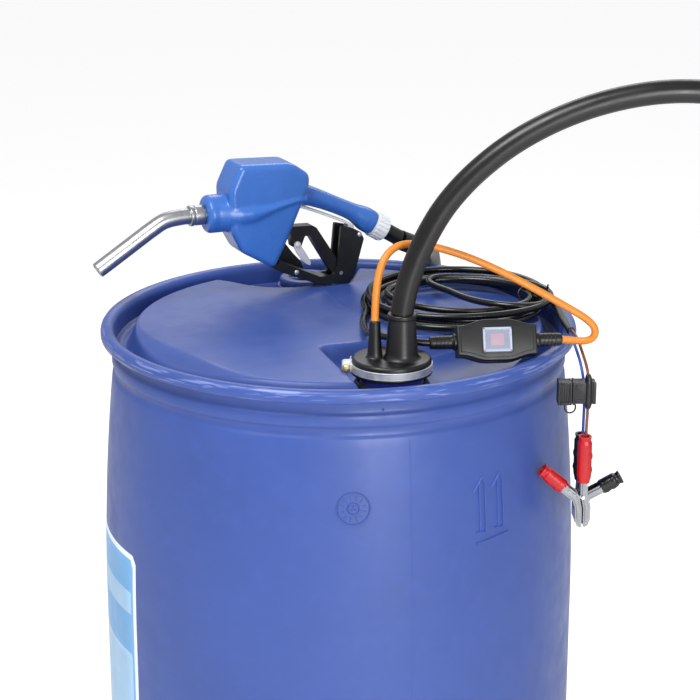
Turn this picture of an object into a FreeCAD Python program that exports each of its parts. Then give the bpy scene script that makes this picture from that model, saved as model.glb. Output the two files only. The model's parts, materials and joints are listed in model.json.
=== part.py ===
"""A 12 V submersible drum pump with its hose, leads and nozzle, on a 220 litre plastic drum.

Frame: the origin is the centre of the drum's foot, +Z is up, +X is to the right of a person
who faces the front bung, and +Y points away from them. Lengths are in millimetres.
"""

import FreeCAD
import Part
import math
import os
import Sketcher

Vector = FreeCAD.Vector
doc = FreeCAD.newDocument("drum_pump")
sheet = doc.addObject("Spreadsheet::Sheet", "sizes")
nodes = []


# ---------------------------------------------------------------- sizes and sheet

class Term:
    """A length, kept as its number and as the sheet expression that gives it."""

    def __init__(self, number, text):
        self.number = number
        self.text = text

    def __float__(self):
        return float(self.number)

    def __add__(self, other):
        return joined(self, "+", other, float(self) + float(other))

    def __radd__(self, other):
        return joined(other, "+", self, float(other) + float(self))

    def __sub__(self, other):
        return joined(self, "-", other, float(self) - float(other))

    def __rsub__(self, other):
        return joined(other, "-", self, float(other) - float(self))

    def __mul__(self, other):
        return joined(self, "*", other, float(self) * float(other))

    def __rmul__(self, other):
        return joined(other, "*", self, float(other) * float(self))

    def __truediv__(self, other):
        return joined(self, "/", other, float(self) / float(other))

    def __neg__(self):
        return joined(0, "-", self, -float(self))


def wording(value):
    return value.text if isinstance(value, Term) else repr(value)


def joined(left, sign, right, number):
    return Term(number, f"({wording(left)} {sign} {wording(right)})")


def size(alias, number):
    """Put one driving dimension in the sheet and give back its term."""
    row = len(sheet_rows) + 1
    sheet_rows.append(alias)
    sheet.set(f"A{row}", alias)
    sheet.set(f"B{row}", str(number))
    sheet.setAlias(f"B{row}", alias)
    return Term(number, f"sizes.{alias}")


sheet_rows = []

# Drum: a 220 litre drum with a moulded ring at each end.
drum_height = size("drum_height", 935)
belly_radius = size("belly_radius", 290)
belly_low = size("belly_low", 345)
belly_high = size("belly_high", 590)
flank_radius = size("flank_radius", 2636)
neck_radius = size("neck_radius", 274)
ring_radius = size("ring_radius", 287)
ring_depth = size("ring_depth", 15)
ring_inside = size("ring_inside", 270)
channel_floor = size("channel_floor", 904)
plateau_radius = size("plateau_radius", 256)
plateau_top = size("plateau_top", 932)
wall = size("wall", 4)
pocket_floor = size("pocket_floor", 905)
bung_x = size("bung_x", 59.5)
bung_y = size("bung_y", -191)
rear_bung_x = size("rear_bung_x", -42)
rear_bung_y = size("rear_bung_y", 207.5)
rear_bung_seat = size("rear_bung_seat", 921)
spigot_radius = size("spigot_radius", 35)
spigot_bore = size("spigot_bore", 28.7)
spigot_top = size("spigot_top", 938)

# Rubber cap with its two sleeves, and the band that clamps it.
cap_radius = size("cap_radius", 45)
cap_top = size("cap_top", 945)
cap_skirt = size("cap_skirt", 927)
cap_roof = size("cap_roof", 6)
collar_radius = size("collar_radius", 39.5)
hose_radius = size("hose_radius", 13)
hose_bore = size("hose_bore", 9.5)
cable_radius = size("cable_radius", 4.3)
hose_x = size("hose_x", 70.5)
hose_y = size("hose_y", -196)
cable_x = size("cable_x", 40.5)
cable_y = size("cable_y", -193)
hose_sleeve_top = size("hose_sleeve_top", 997)
hose_sleeve_base = size("hose_sleeve_base", 18)
hose_sleeve_tip = size("hose_sleeve_tip", 15.2)
cable_sleeve_top = size("cable_sleeve_top", 988)
cable_sleeve_base = size("cable_sleeve_base", 8.2)
cable_sleeve_tip = size("cable_sleeve_tip", 5.8)
band_low = size("band_low", 930)
band_width = size("band_width", 9)
band_thickness = size("band_thickness", 1.2)
clamp_screw_radius = size("clamp_screw_radius", 3)

# Submersible pump at the foot of the hose.
pump_foot = size("pump_foot", 18)
pump_radius = size("pump_radius", 24)
casing_wall = size("casing_wall", 1.5)
strainer_height = size("strainer_height", 26)
casing_top = size("casing_top", 158)
can_radius = size("can_radius", 19)
can_wall = size("can_wall", 0.8)
can_low = size("can_low", 64)
can_high = size("can_high", 148)
shaft_radius = size("shaft_radius", 1.6)
impeller_radius = size("impeller_radius", 17)
armature_radius = size("armature_radius", 13.5)
magnet_inside = size("magnet_inside", 14.2)
running_gap = size("running_gap", 0.05)
barb_top = size("barb_top", 200)
hose_foot = size("hose_foot", 172)

# In-line switch box.
box_length = size("box_length", 92)
box_end = size("box_end", 35)
box_belly = size("box_belly", 49)
box_depth = size("box_depth", 26)
shell_wall = size("shell_wall", 2)
window_length = size("window_length", 33)
window_height = size("window_height", 28)
rocker_length = size("rocker_length", 16)
rocker_height = size("rocker_height", 14)
relief_length = size("relief_length", 30)

# Fuse holder and battery clamps.
fuse_low = size("fuse_low", 882)
fuse_high = size("fuse_high", 911)
fuse_left = size("fuse_left", 249)
fuse_split = size("fuse_split", 265)
fuse_right = size("fuse_right", 292)
fuse_y = size("fuse_y", -170)
fuse_depth = size("fuse_depth", 20)
lead_radius = size("lead_radius", 1.6)
clamp_width = size("clamp_width", 13)
clamp_sheet = size("clamp_sheet", 1.2)

# Nozzle.
body_half = size("body_half", 28)
grip_half = size("grip_half", 14)
guard_half = size("guard_half", 13)
lever_half = size("lever_half", 8)
spout_radius = size("spout_radius", 10)
spout_bore = size("spout_bore", 8.6)
nose_radius = size("nose_radius", 24)
nut_radius = size("nut_radius", 13)
pin_radius = size("pin_radius", 2.5)
swivel_radius = size("swivel_radius", 17)
tail_radius = size("tail_radius", 10.5)
doc.recompute()


# ---------------------------------------------------------------- building helpers

def bind(thing, name, value):
    """Set a property from a term or a plain number."""
    if isinstance(value, Term):
        thing.setExpression(name, value.text)
    else:
        thing.setExpression(name, repr(float(value)))


def place(thing, at=(0, 0, 0), turn=None):
    """Give a placement whose position follows the sheet."""
    spin = turn or FreeCAD.Rotation()
    thing.Placement = FreeCAD.Placement(Vector(*[float(value) for value in at]), spin)
    for axis, value in zip("xyz", at):
        if isinstance(value, Term):
            thing.setExpression(f"Placement.Base.{axis}", value.text)
    return thing


def node(thing, label):
    """Name a finished sub-part and keep it for export."""
    thing.Label = label
    nodes.append(thing)
    return thing


def origin_plane(body, role):
    return next(item for item in body.Origin.OriginFeatures if item.Role == role)


def arc_side(first, last, radius):
    """The counter-clockwise arc of one bulging side; a negative radius turns clockwise."""
    if radius < 0:
        first, last = last, first
    chord = last - first
    half = chord.Length / 2
    left = Vector(-chord.y, chord.x, 0).normalize()
    centre = (first + last) * 0.5 + left * math.sqrt(radius * radius - half * half)
    start = math.atan2(first.y - centre.y, first.x - centre.x)
    stop = math.atan2(last.y - centre.y, last.x - centre.x)
    return Part.ArcOfCircle(Part.Circle(centre, Vector(0, 0, 1), abs(radius)), start, stop)


def closed_sketch(body, role, corners):
    """A closed outline. A corner's third value is the radius of the side that ends there."""
    sketch = body.newObject("Sketcher::SketchObject", "outline")
    sketch.AttachmentSupport = [(origin_plane(body, role), "")]
    sketch.MapMode = "FlatFace"
    spots = [Vector(float(corner[0]), float(corner[1]), 0) for corner in corners]
    ends = []
    for index, corner in enumerate(corners):
        first, last = spots[index - 1], spots[index]
        if len(corner) == 2:
            sketch.addGeometry(Part.LineSegment(first, last))
            ends.append((1, 2))
        else:
            sketch.addGeometry(arc_side(first, last, float(corner[2])))
            ends.append((1, 2) if float(corner[2]) > 0 else (2, 1))
    for index, corner in enumerate(corners):
        after = (index + 1) % len(corners)
        sketch.addConstraint(
            Sketcher.Constraint("Coincident", index, ends[index][1], after, ends[after][0])
        )
        for kind, value in zip(("DistanceX", "DistanceY"), corner[:2]):
            rule = Sketcher.Constraint(kind, -1, 1, index, ends[index][1], float(value))
            number = sketch.addConstraint(rule)
            if isinstance(value, Term):
                sketch.setExpression(f"Constraints[{number}]", value.text)
        if len(corner) == 3:
            sketch.addConstraint(Sketcher.Constraint("Radius", index, abs(float(corner[2]))))
    return sketch


def lathe(corners, at=(0, 0, 0), turn=None):
    """A body turned about its own Z axis from a profile of (radius, height) corners."""
    body = doc.addObject("PartDesign::Body", "turned")
    sketch = closed_sketch(body, "XZ_Plane", corners)
    turned = body.newObject("PartDesign::Revolution", "revolution")
    turned.Profile = sketch
    turned.ReferenceAxis = (sketch, ["V_Axis"])
    turned.Angle = 360
    return place(body, at, turn)


def slab(corners, thickness, at=(0, 0, 0), turn=None, centred=True):
    """A body padded along its own Z axis from an outline in its XY plane."""
    body = doc.addObject("PartDesign::Body", "plate")
    sketch = closed_sketch(body, "XY_Plane", corners)
    pad = body.newObject("PartDesign::Pad", "pad")
    pad.Profile = sketch
    pad.SideType = "Symmetric" if centred else "One side"
    bind(pad, "Length", thickness)
    return place(body, at, turn)


def rounded(body, radius, chosen):
    """Round the edges of the last feature that the chosen test picks."""
    doc.recompute()
    last = body.Tip
    names = [
        f"Edge{number}" for number, edge in enumerate(last.Shape.Edges, 1) if chosen(edge)
    ]
    fillet = body.newObject("PartDesign::Fillet", "rounding")
    fillet.Base = (last, names)
    fillet.Radius = radius
    return body


def along_thickness(edge):
    """True for the straight edges that run along a plate's own Z axis."""
    line = edge.Vertexes[-1].Point - edge.Vertexes[0].Point
    return line.Length > 0.1 and abs(line.z) > 0.99 * line.Length


def on_faces(edge):
    """True for the edges that lie in a plate's two flat faces."""
    return not along_thickness(edge)


def block(low, high):
    """A box between two opposite corners."""
    box = doc.addObject("Part::Box", "block")
    for name, start, stop in zip(("Length", "Width", "Height"), low, high):
        bind(box, name, stop - start)
    return place(box, low)


def rod(radius, length, at=(0, 0, 0), turn=None, sweep=360):
    cylinder = doc.addObject("Part::Cylinder", "rod")
    bind(cylinder, "Radius", radius)
    bind(cylinder, "Height", length)
    cylinder.Angle = sweep
    return place(cylinder, at, turn)


def fuse(shapes):
    joined_shapes = doc.addObject("Part::MultiFuse", "union")
    joined_shapes.Shapes = shapes
    return joined_shapes


def cut(base, *tools):
    result = doc.addObject("Part::Cut", "difference")
    result.Base = base
    result.Tool = tools[0] if len(tools) == 1 else fuse(list(tools))
    return result


def overlap(base, tool):
    result = doc.addObject("Part::Common", "overlap")
    result.Base = base
    result.Tool = tool
    return result


def group(shapes):
    """Separate solids that share one node."""
    together = doc.addObject("Part::Compound", "group")
    together.Links = shapes
    return together


def tube_shape(route, radius, bore=0):
    """A tube along straight runs joined by tangent arcs, with its smallest arc and length."""
    points = [Vector(*point) for point in route]
    edges = []
    radii = []
    start = points[0]
    for before, corner, after in zip(points, points[1:], points[2:]):
        back = before - corner
        ahead = after - corner
        shorter = min(back.Length, ahead.Length)
        turn = math.pi - back.getAngle(ahead)
        reach = 0.45 * shorter
        arc_radius = reach / math.tan(turn / 2)
        back.normalize()
        ahead.normalize()
        entry = corner + back * reach
        leave = corner + ahead * reach
        inward = (back + ahead).normalize()
        depth = arc_radius / math.cos(turn / 2) - arc_radius
        edges.append(Part.LineSegment(start, entry).toShape())
        edges.append(Part.Arc(entry, corner + inward * depth, leave).toShape())
        radii.append(arc_radius)
        start = leave
    edges.append(Part.LineSegment(start, points[-1]).toShape())
    path = Part.Wire(edges)
    direction = points[1] - points[0]
    ring = Part.Wire([Part.makeCircle(radius, points[0], direction)])
    solid = path.makePipeShell([ring], True, True)
    if bore:
        inner = Part.Wire([Part.makeCircle(bore, points[0], direction)])
        solid = solid.cut(path.makePipeShell([inner], True, True))
    area = math.pi * (radius ** 2 - bore ** 2)
    share = solid.Volume / (area * path.Length)
    print(f"tube {path.Length:.0f} mm, radii {min(radii):.0f} to {max(radii):.0f},"
          f" volume share {share:.4f}")
    return solid


def tube(label, routes, radius, bore=0):
    """A node that holds one tube for each route."""
    feature = doc.addObject("Part::Feature", "tube")
    shapes = [tube_shape(route, float(radius), float(bore)) for route in routes]
    feature.Shape = shapes[0] if len(shapes) == 1 else Part.Compound(shapes)
    feature.Placement = FreeCAD.Placement()
    return node(feature, label)


def turn_to(direction):
    """The rotation that lays a body's own Z axis along a direction."""
    return FreeCAD.Rotation(Vector(0, 0, 1), Vector(*direction))


# ---------------------------------------------------------------- drum

REAR_POCKET = [
    (-179, 200), (-139, 179), (-117, 162), (-94, 151), (-60, 149), (-10, 160), (15, 172),
    (34, 290), (-60, 310), (-200, 250),
]
POCKET_BACK = 98
POCKET_RUN = 180


def front_pocket(grow):
    """The hollow round the front bung: a flat floor that ramps up to the right."""
    across = Vector(-float(bung_y), float(bung_x), 0).normalize()
    outward = Vector(float(bung_x), float(bung_y), 0).normalize()
    turn = FreeCAD.Rotation(across, Vector(0, 0, 1), outward, "ZXY")
    corners = [
        (-52 - grow, pocket_floor - grow), (62, pocket_floor - grow),
        (220 + grow, plateau_top + 1), (220 + grow, plateau_top + 40), (-58 - grow, plateau_top + 40),
        (-58 - grow, plateau_top),
    ]
    start = outward * (POCKET_BACK - float(grow))
    return slab(corners, POCKET_RUN + 2 * grow, (start.x, start.y, 0), turn, centred=False)


def rear_pocket(grow):
    """The hollow round the rear bung, with a curved left end."""
    centre = (-80, 215)
    factor = 1 + float(grow) / 60
    corners = [
        (centre[0] + (x - centre[0]) * factor, centre[1] + (y - centre[1]) * factor)
        for x, y in REAR_POCKET
    ]
    return slab(corners, 60, (0, 0, pocket_floor - grow), centred=False)


def drum():
    inside = belly_radius - wall
    outer = lathe([
        (0, 12), (258, 12), (264, 0), (281, 0), (ring_radius, 6), (ring_radius, ring_depth),
        (neck_radius, ring_depth + 4), (neck_radius, 55),
        (belly_radius, belly_low, flank_radius), (belly_radius, belly_high),
        (neck_radius, drum_height - 55, flank_radius), (neck_radius, drum_height - ring_depth - 4),
        (ring_radius, drum_height - ring_depth), (ring_radius, drum_height - 5),
        (ring_radius - 4, drum_height, 5), (275, drum_height), (ring_inside, drum_height - 5, 6),
        (ring_inside, channel_floor), (plateau_radius + 5, channel_floor),
        (plateau_radius, plateau_top - 4), (plateau_radius - 5, plateau_top, 6), (0, plateau_top),
    ])
    hollow = lathe([
        (0, 16), (257, 16), (neck_radius - wall, 22), (neck_radius - wall, 57),
        (inside, belly_low, flank_radius), (inside, belly_high),
        (neck_radius - wall, drum_height - 57, flank_radius), (neck_radius - wall, channel_floor - wall),
        (plateau_radius + 1, channel_floor - wall), (plateau_radius - wall, plateau_top - wall),
        (0, plateau_top - wall),
    ])
    rim_room = rod(ring_inside, 100, (0, 0, 860))
    spigots = []
    bores = []
    for x, y in ((bung_x, bung_y), (rear_bung_x, rear_bung_y)):
        top = spigot_top if x is bung_x else rear_bung_seat
        spigots.append(lathe([
            (0, pocket_floor - 1), (spigot_radius, pocket_floor - 1), (spigot_radius, top - 14),
            (collar_radius - 1, top - 11), (collar_radius - 1, top), (0, top),
        ], (x, y, 0)))
        bores.append(rod(spigot_bore, 80, (x, y, 870)))
    pockets = overlap(fuse([front_pocket(0), rear_pocket(0)]), rim_room)
    lining = fuse([front_pocket(wall), rear_pocket(wall)])
    head = fuse([cut(outer, pockets)] + spigots)
    node(cut(head, cut(hollow, lining), *bores), "drum_shell")


def rear_bung():
    """The screwed plug of the rear bung, with a cross-shaped hollow for its key."""
    top = rear_bung_seat
    plug = lathe([
        (0, top - 16), (24, top - 16), (24, top + 2), (21, top + 2), (21, top - 12), (0, top - 12),
    ], (rear_bung_x, rear_bung_y, 0))
    head = lathe([
        (20, top + 0.1), (33, top + 0.1), (35, top + 3), (35, top + 8), (33, top + 10),
        (22, top + 10), (20, top + 4),
    ], (rear_bung_x, rear_bung_y, 0))
    low = (rear_bung_x - 21, rear_bung_y - 3, top - 12)
    bar = block(low, (rear_bung_x + 21, rear_bung_y + 3, top + 8))
    thread = lathe([
        (23, top - 16), (spigot_bore - 0.3, top - 16), (spigot_bore - 0.3, top), (23, top),
    ], (rear_bung_x, rear_bung_y, 0))
    node(fuse([plug, head, bar, thread]), "rear_bung_plug")


# ---------------------------------------------------------------- cap and band clamp

def cap():
    """A rubber cup over the spigot, with one sleeve for the hose and one for the cable."""
    cup = lathe([
        (0, cap_top - cap_roof), (collar_radius, cap_top - cap_roof), (collar_radius, cap_skirt),
        (cap_radius, cap_skirt), (cap_radius + 1, cap_skirt + 1), (cap_radius + 1, cap_skirt + 2.5),
        (cap_radius, cap_skirt + 3), (cap_radius, cap_top - 4), (cap_radius - 2, cap_top, 5),
        (0, cap_top),
    ], (bung_x, bung_y, 0))
    hose_sleeve = lathe([
        (0, cap_top - 1), (hose_sleeve_base + 2, cap_top - 1), (hose_sleeve_base, cap_top + 2),
        (hose_sleeve_tip, hose_sleeve_top - 5), (hose_sleeve_tip + 1, hose_sleeve_top - 4),
        (hose_sleeve_tip + 1, hose_sleeve_top - 1), (hose_sleeve_tip, hose_sleeve_top), (0, hose_sleeve_top),
    ], (hose_x, hose_y, 0))
    cable_sleeve = lathe([
        (0, cap_top - 1), (cable_sleeve_base + 1, cap_top - 1), (cable_sleeve_base, cap_top + 1),
        (cable_sleeve_tip, cable_sleeve_top - 1), (cable_sleeve_tip - 1, cable_sleeve_top),
        (0, cable_sleeve_top),
    ], (cable_x, cable_y, 0))
    hose_hole = rod(hose_radius, 100, (hose_x, hose_y, 920))
    cable_hole = rod(cable_radius, 100, (cable_x, cable_y, 920))
    node(cut(fuse([cup, hose_sleeve, cable_sleeve]), hose_hole, cable_hole), "rubber_cap")


def band():
    """The worm-drive band round the cap's skirt, with its housing on the left and its screw."""
    inside = cap_radius + 0.1
    strap = lathe([
        (inside, band_low), (inside + band_thickness, band_low),
        (inside + band_thickness, band_low + band_width), (inside, band_low + band_width),
    ], (bung_x, bung_y, 0))
    left = bung_x - inside
    screw_x = left - 6.4
    housing = block((left - 11, bung_y - 8, band_low + 0.1), (left - 0.5, bung_y + 8, band_low + 10))
    axis = (screw_x, bung_y - 14, band_low + 4.5)
    lengthwise = turn_to((0, 1, 0))
    hole = rod(clamp_screw_radius + running_gap, 30, axis, lengthwise)
    node(cut(fuse([strap, housing]), hole), "band_clamp")
    shank = rod(clamp_screw_radius, 24, axis, lengthwise)
    head = rod(4.9, 5, (screw_x, bung_y - 15, band_low + 4.5), lengthwise)
    slot = block((left - 12.4, bung_y - 15.5, band_low + 4), (left + 1, bung_y - 13.5, band_low + 5))
    node(cut(fuse([shank, head]), slot), "clamp_screw")


# ---------------------------------------------------------------- submersible pump

def pump_casing_parts():
    """The strainer at the foot, the casing, and the ring that the impeller turns in."""
    here = (hose_x, hose_y, 0)
    bore = pump_radius - casing_wall
    foot = pump_foot
    shoulder = foot + strainer_height
    cup = lathe([
        (8, foot), (pump_radius - 2, foot), (pump_radius, foot + 2), (pump_radius, shoulder),
        (bore, shoulder), (bore, foot + 3), (8, foot + 3),
    ], here)
    slots = [
        place_slot(angle, float(foot) + 7) for angle in range(0, 360, 30)
    ]
    node(cut(cup, *slots), "strainer")
    node(lathe([
        (bore, shoulder), (pump_radius, shoulder), (pump_radius, casing_top), (bore, casing_top),
    ], here), "pump_casing")
    deck = shoulder + 4
    node(fuse([
        lathe([(10, shoulder), (bore - 0.1, shoulder), (bore - 0.1, deck), (10, deck)], here),
        lathe([
            (impeller_radius + 1.5, deck), (impeller_radius + 3, deck), (impeller_radius + 3, deck + 10),
            (impeller_radius + 1.5, deck + 10),
        ], here),
    ]), "volute_ring")


def impeller_and_shaft():
    here = (hose_x, hose_y, 0)
    deck = pump_foot + strainer_height + 4
    wheel = lathe([
        (shaft_radius, deck + 6.5), (impeller_radius, deck + 6.5), (impeller_radius, deck + 8.5),
        (shaft_radius, deck + 8.5),
    ], here)
    hub = lathe([
        (shaft_radius, deck + 1), (5, deck + 1), (5, deck + 7), (shaft_radius, deck + 7),
    ], here)
    vanes = [place_vane(angle, float(deck)) for angle in range(0, 360, 60)]
    node(fuse([wheel, hub] + vanes), "impeller")
    node(rod(shaft_radius, 84, (hose_x, hose_y, deck + 1)), "motor_shaft")


def motor():
    """The sealed motor: its can, magnets, armature, seal and bearings."""
    here = (hose_x, hose_y, 0)
    node(lathe([
        (7, can_low), (can_radius, can_low), (can_radius, can_high), (0, can_high),
        (0, can_high - 3), (can_radius - can_wall, can_high - 3), (can_radius - can_wall, can_low + 3),
        (7, can_low + 3),
    ], here), "motor_can")
    can_bore = can_radius - can_wall
    arcs = []
    for start in (20, 200):
        turn = FreeCAD.Rotation(Vector(0, 0, 1), start)
        arcs.append(rod(can_bore - 0.05, 46, (hose_x, hose_y, 84), turn, 140))
    node(cut(fuse(arcs), rod(magnet_inside, 60, (hose_x, hose_y, 80))), "magnets")
    node(lathe([
        (shaft_radius, 84), (6, 84), (6, 88), (armature_radius, 90), (armature_radius, 126),
        (6, 128), (6, 134), (shaft_radius, 134),
    ], here), "armature")
    collar = shaft_radius + running_gap
    node(lathe([
        (collar, can_low + 0.1), (6.9, can_low + 0.1), (6.9, can_low + 3), (collar, can_low + 3),
    ], here), "shaft_seal")
    rim = can_bore - 0.1
    lower = lathe([(collar, can_low + 4), (rim, can_low + 4), (rim, can_low + 9), (collar, can_low + 9)], here)
    upper = lathe([(collar, 135), (rim, 135), (rim, 139), (collar, 139)], here)
    node(group([lower, upper]), "motor_bearings")


def pump_top():
    """The cover with the hose barb and the cable gland, and the clip on the hose."""
    here = (hose_x, hose_y, 0)
    cover = lathe([
        (0, casing_top), (pump_radius, casing_top), (pump_radius, casing_top + 4), (15, casing_top + 10),
        (hose_bore, casing_top + 12), (hose_bore, barb_top - 14), (hose_bore + 0.6, barb_top - 14),
        (hose_bore, barb_top - 7), (hose_bore, barb_top - 1), (hose_bore - 1, barb_top), (0, barb_top),
    ], here)
    gland = rod(7, 10, (hose_x - 17, hose_y + 2, casing_top))
    passage = rod(7, 60, (hose_x, hose_y, casing_top - 2))
    seat = rod(cable_radius, 20, (hose_x - 17, hose_y + 2, casing_top + 2))
    node(cut(fuse([cover, gland]), passage, seat), "pump_top_cover")
    snug = hose_radius + 0.05
    outside = hose_radius + 1.2
    clip = lathe([(snug, 182), (outside, 182), (outside, 190), (snug, 190)], here)
    back = hose_y + hose_radius
    ear = block((hose_x - 3, back + 0.5, 182), (hose_x + 3, back + 5, 190))
    node(fuse([clip, ear]), "hose_clip")


def place_slot(angle, height):
    """One inlet slot of the strainer, cut through its wall."""
    slot = doc.addObject("Part::Box", "slot")
    slot.Length = 10
    slot.Width = 3
    slot.Height = 14
    turn = FreeCAD.Rotation(Vector(0, 0, 1), angle)
    offset = turn.multVec(Vector(float(pump_radius) - 6, -1.5, height))
    return place(slot, (offset.x + float(hose_x), offset.y + float(hose_y), offset.z), turn)


def place_vane(angle, deck):
    """One vane under the impeller's disc."""
    vane = doc.addObject("Part::Box", "vane")
    vane.Length = 12
    vane.Width = 1.4
    vane.Height = 5.6
    turn = FreeCAD.Rotation(Vector(0, 0, 1), angle)
    offset = turn.multVec(Vector(4.4, -0.7, deck + 1.2))
    lean = FreeCAD.Rotation(Vector(0, 0, 1), angle + 12)
    return place(vane, (offset.x + float(hose_x), offset.y + float(hose_y), offset.z), lean)


def riser():
    """The stretch of the hose, and of the pump's cable, inside the drum."""
    node(lathe([
        (hose_bore + 0.65, hose_foot), (hose_radius, hose_foot), (hose_radius, hose_sleeve_top),
        (hose_bore + 0.65, hose_sleeve_top),
    ], (hose_x, hose_y, 0)), "riser_hose")
    x = float(cable_x)
    y = float(cable_y)
    tube("pump_cable", [[
        (x, y, 988), (x, y - 0.5, 800), (x + 0.5, y, 600), (x, y - 0.5, 400), (x + 2, y, 280),
        (48.5, -194, 228), (49, -194, 192), (53.5, -194, 162),
    ]], cable_radius - 0.05)


# ---------------------------------------------------------------- hose and cable routes

HOSE_ROUTE = [
    (70.5, -196, 997), (74, -196, 1022), (83, -196, 1052), (97, -196, 1086), (118, -196, 1122),
    (149, -196, 1157), (191, -196, 1191), (243, -196, 1219), (300, -196, 1238), (361, -196, 1247),
    (424, -196, 1243), (486, -194, 1226), (542, -190, 1194), (590, -184, 1146), (622, -176, 1082),
    (638, -166, 1000), (645, -154, 890), (648, -140, 760), (650, -120, 620), (651, -92, 480),
    (652, -56, 350), (652, -8, 230), (650, 48, 130), (643, 112, 58), (626, 180, 24), (594, 246, 15),
    (542, 300, 13.5), (472, 335, 13.3), (392, 352, 13.4), (312, 356, 15), (240, 352, 27),
    (184, 348, 64), (157, 345, 122), (143, 345, 200), (136, 346, 310), (134, 348, 440),
    (133, 349, 560), (133, 348, 665), (132, 347.5, 745), (131, 345, 800), (130.5, 341, 845),
    (129, 332, 886), (126.5, 313, 921), (121.5, 285, 945), (115, 254, 957), (102, 225, 966),
    (79.6, 207.6, 979.3),
]
ORANGE_ROUTE = [
    (40.5, -193, 988), (41, -192, 1012), (44, -188, 1038), (51, -180, 1058), (66, -170, 1069),
    (88, -165, 1069), (115, -163, 1063), (150, -162, 1051), (190, -161, 1032), (228, -160, 1011),
    (260, -158, 992), (278, -157, 981), (289.5, -156, 971), (292.5, -155, 961.5),
    (289, -153, 953.6), (280, -149.4, 949.9), (267.5, -146.2, 949.9), (254.7, -144.7, 950.7),
]
CABLE_NEAR_ROUTE = [
    (103.3, -157.9, 950.7), (86, -158.6, 952), (67, -154.5, 954.4), (50, -141, 954), (40, -119, 949),
    (33, -90, 943), (29.5, -58, 940), (29, -24, 940), (34, 10, 941),
]
CABLE_FAR_ROUTE = [
    (240, -8, 943), (253, -26, 944), (263, -46, 944.5), (269, -66, 944.5), (271, -84, 944),
]
LIVE_UPPER_ROUTE = [
    (272.6, -92, 945.8), (275, -106, 945), (277.5, -122, 941), (280, -140, 933), (282.5, -156, 925),
    (284, -166, 917), (284, -170, 911),
]
LIVE_LOWER_ROUTE = [(284, -170, 882), (284.5, -171, 871), (283.5, -173, 859), (283, -174, 846)]
RETURN_ROUTE = [
    (270.4, -92, 942.4), (272, -106, 940), (274, -124, 934), (277, -142, 925), (279, -154, 914),
    (281, -158, 900), (281.5, -158.4, 884), (282, -157.4, 864), (281.5, -156, 841),
]


def leads():
    tube("delivery_hose", [HOSE_ROUTE], hose_radius, hose_bore)
    tube("orange_cable", [ORANGE_ROUTE], cable_radius)
    tube("battery_cable_near", [CABLE_NEAR_ROUTE], cable_radius)
    tube("battery_cable_far", [CABLE_FAR_ROUTE], cable_radius)
    tube("live_lead", [LIVE_UPPER_ROUTE, LIVE_LOWER_ROUTE], lead_radius)
    tube("return_lead", [RETURN_ROUTE], lead_radius)


COIL_CENTRE = (140, 59)
COIL_OUTSIDE = 118
COIL_INSIDE = 68
COIL_LOW = 934
COIL_HIGH = 957


def coil():
    """The loose coil of battery cable on the drum's head, and the tie round its right side."""
    x, y = COIL_CENTRE
    edge = 5
    node(lathe([
        (COIL_INSIDE + edge, COIL_LOW), (COIL_OUTSIDE - edge, COIL_LOW),
        (COIL_OUTSIDE, COIL_LOW + edge), (COIL_OUTSIDE, COIL_HIGH - edge),
        (COIL_OUTSIDE - edge, COIL_HIGH), (COIL_INSIDE + edge, COIL_HIGH),
        (COIL_INSIDE, COIL_HIGH - edge), (COIL_INSIDE, COIL_LOW + edge),
    ], (x, y, 0)), "cable_coil")
    turn = FreeCAD.Rotation(Vector(0, 0, 1), 24)
    height = COIL_HIGH - COIL_LOW
    outside = place(slab([(66.6, -0.8), (119.4, -0.8), (119.4, height + 0.8), (66.6, height + 0.8)], 3),
                    (x, y, COIL_LOW), turn.multiply(FreeCAD.Rotation(Vector(1, 0, 0), 90)))
    inside = place(slab([(67.6, -0.1), (118.4, -0.1), (118.4, height + 0.1), (67.6, height + 0.1)], 4),
                   (x, y, COIL_LOW), turn.multiply(FreeCAD.Rotation(Vector(1, 0, 0), 90)))
    node(cut(outside, inside), "cable_tie")
    node(lathe([(0, 0), (4.9, 0), (4.9, 7), (3.6, 8), (0, 8)], (271, -84, 944), turn_to((0.12, -0.99, 0))),
         "jacket_sleeve")


# ---------------------------------------------------------------- in-line switch

SWITCH_CENTRE = Vector(179, -151.3, 950.7)
SWITCH_ALONG = Vector(0.9962, 0.0872, 0)
SWITCH_TILT = 25


def switch_frame():
    """Axes of the leaning switch box: along it, up its face, and out of its face."""
    level = Vector(0, 0, 1)
    out = SWITCH_ALONG.cross(level)
    tilt = FreeCAD.Rotation(SWITCH_ALONG, -SWITCH_TILT)
    return FreeCAD.Rotation(SWITCH_ALONG, tilt.multVec(level), tilt.multVec(out), "ZXY")


def box_outline(inset):
    """The box's eight-sided face: narrow ends and a wider belly."""
    end = box_length / 2 - inset
    low = box_end / 2 - inset
    high = box_belly / 2 - inset
    return [
        (-end, -low), (-end / 2.3, -high), (end / 2.3, -high), (end, -low), (end, low),
        (end / 2.3, high), (-end / 2.3, high), (-end, low),
    ]


def in_switch(x, y, z):
    """A point given in the switch's own axes, in the drum's frame."""
    spot = SWITCH_CENTRE + switch_frame().multVec(Vector(float(x), float(y), float(z)))
    return (spot.x, spot.y, spot.z)


def switch_slab(corners, low, high):
    return slab(corners, high - low, in_switch(0, 0, low), switch_frame(), centred=False)


def rectangle(length, height):
    return [
        (-length / 2, -height / 2), (length / 2, -height / 2), (length / 2, height / 2),
        (-length / 2, height / 2),
    ]


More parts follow.
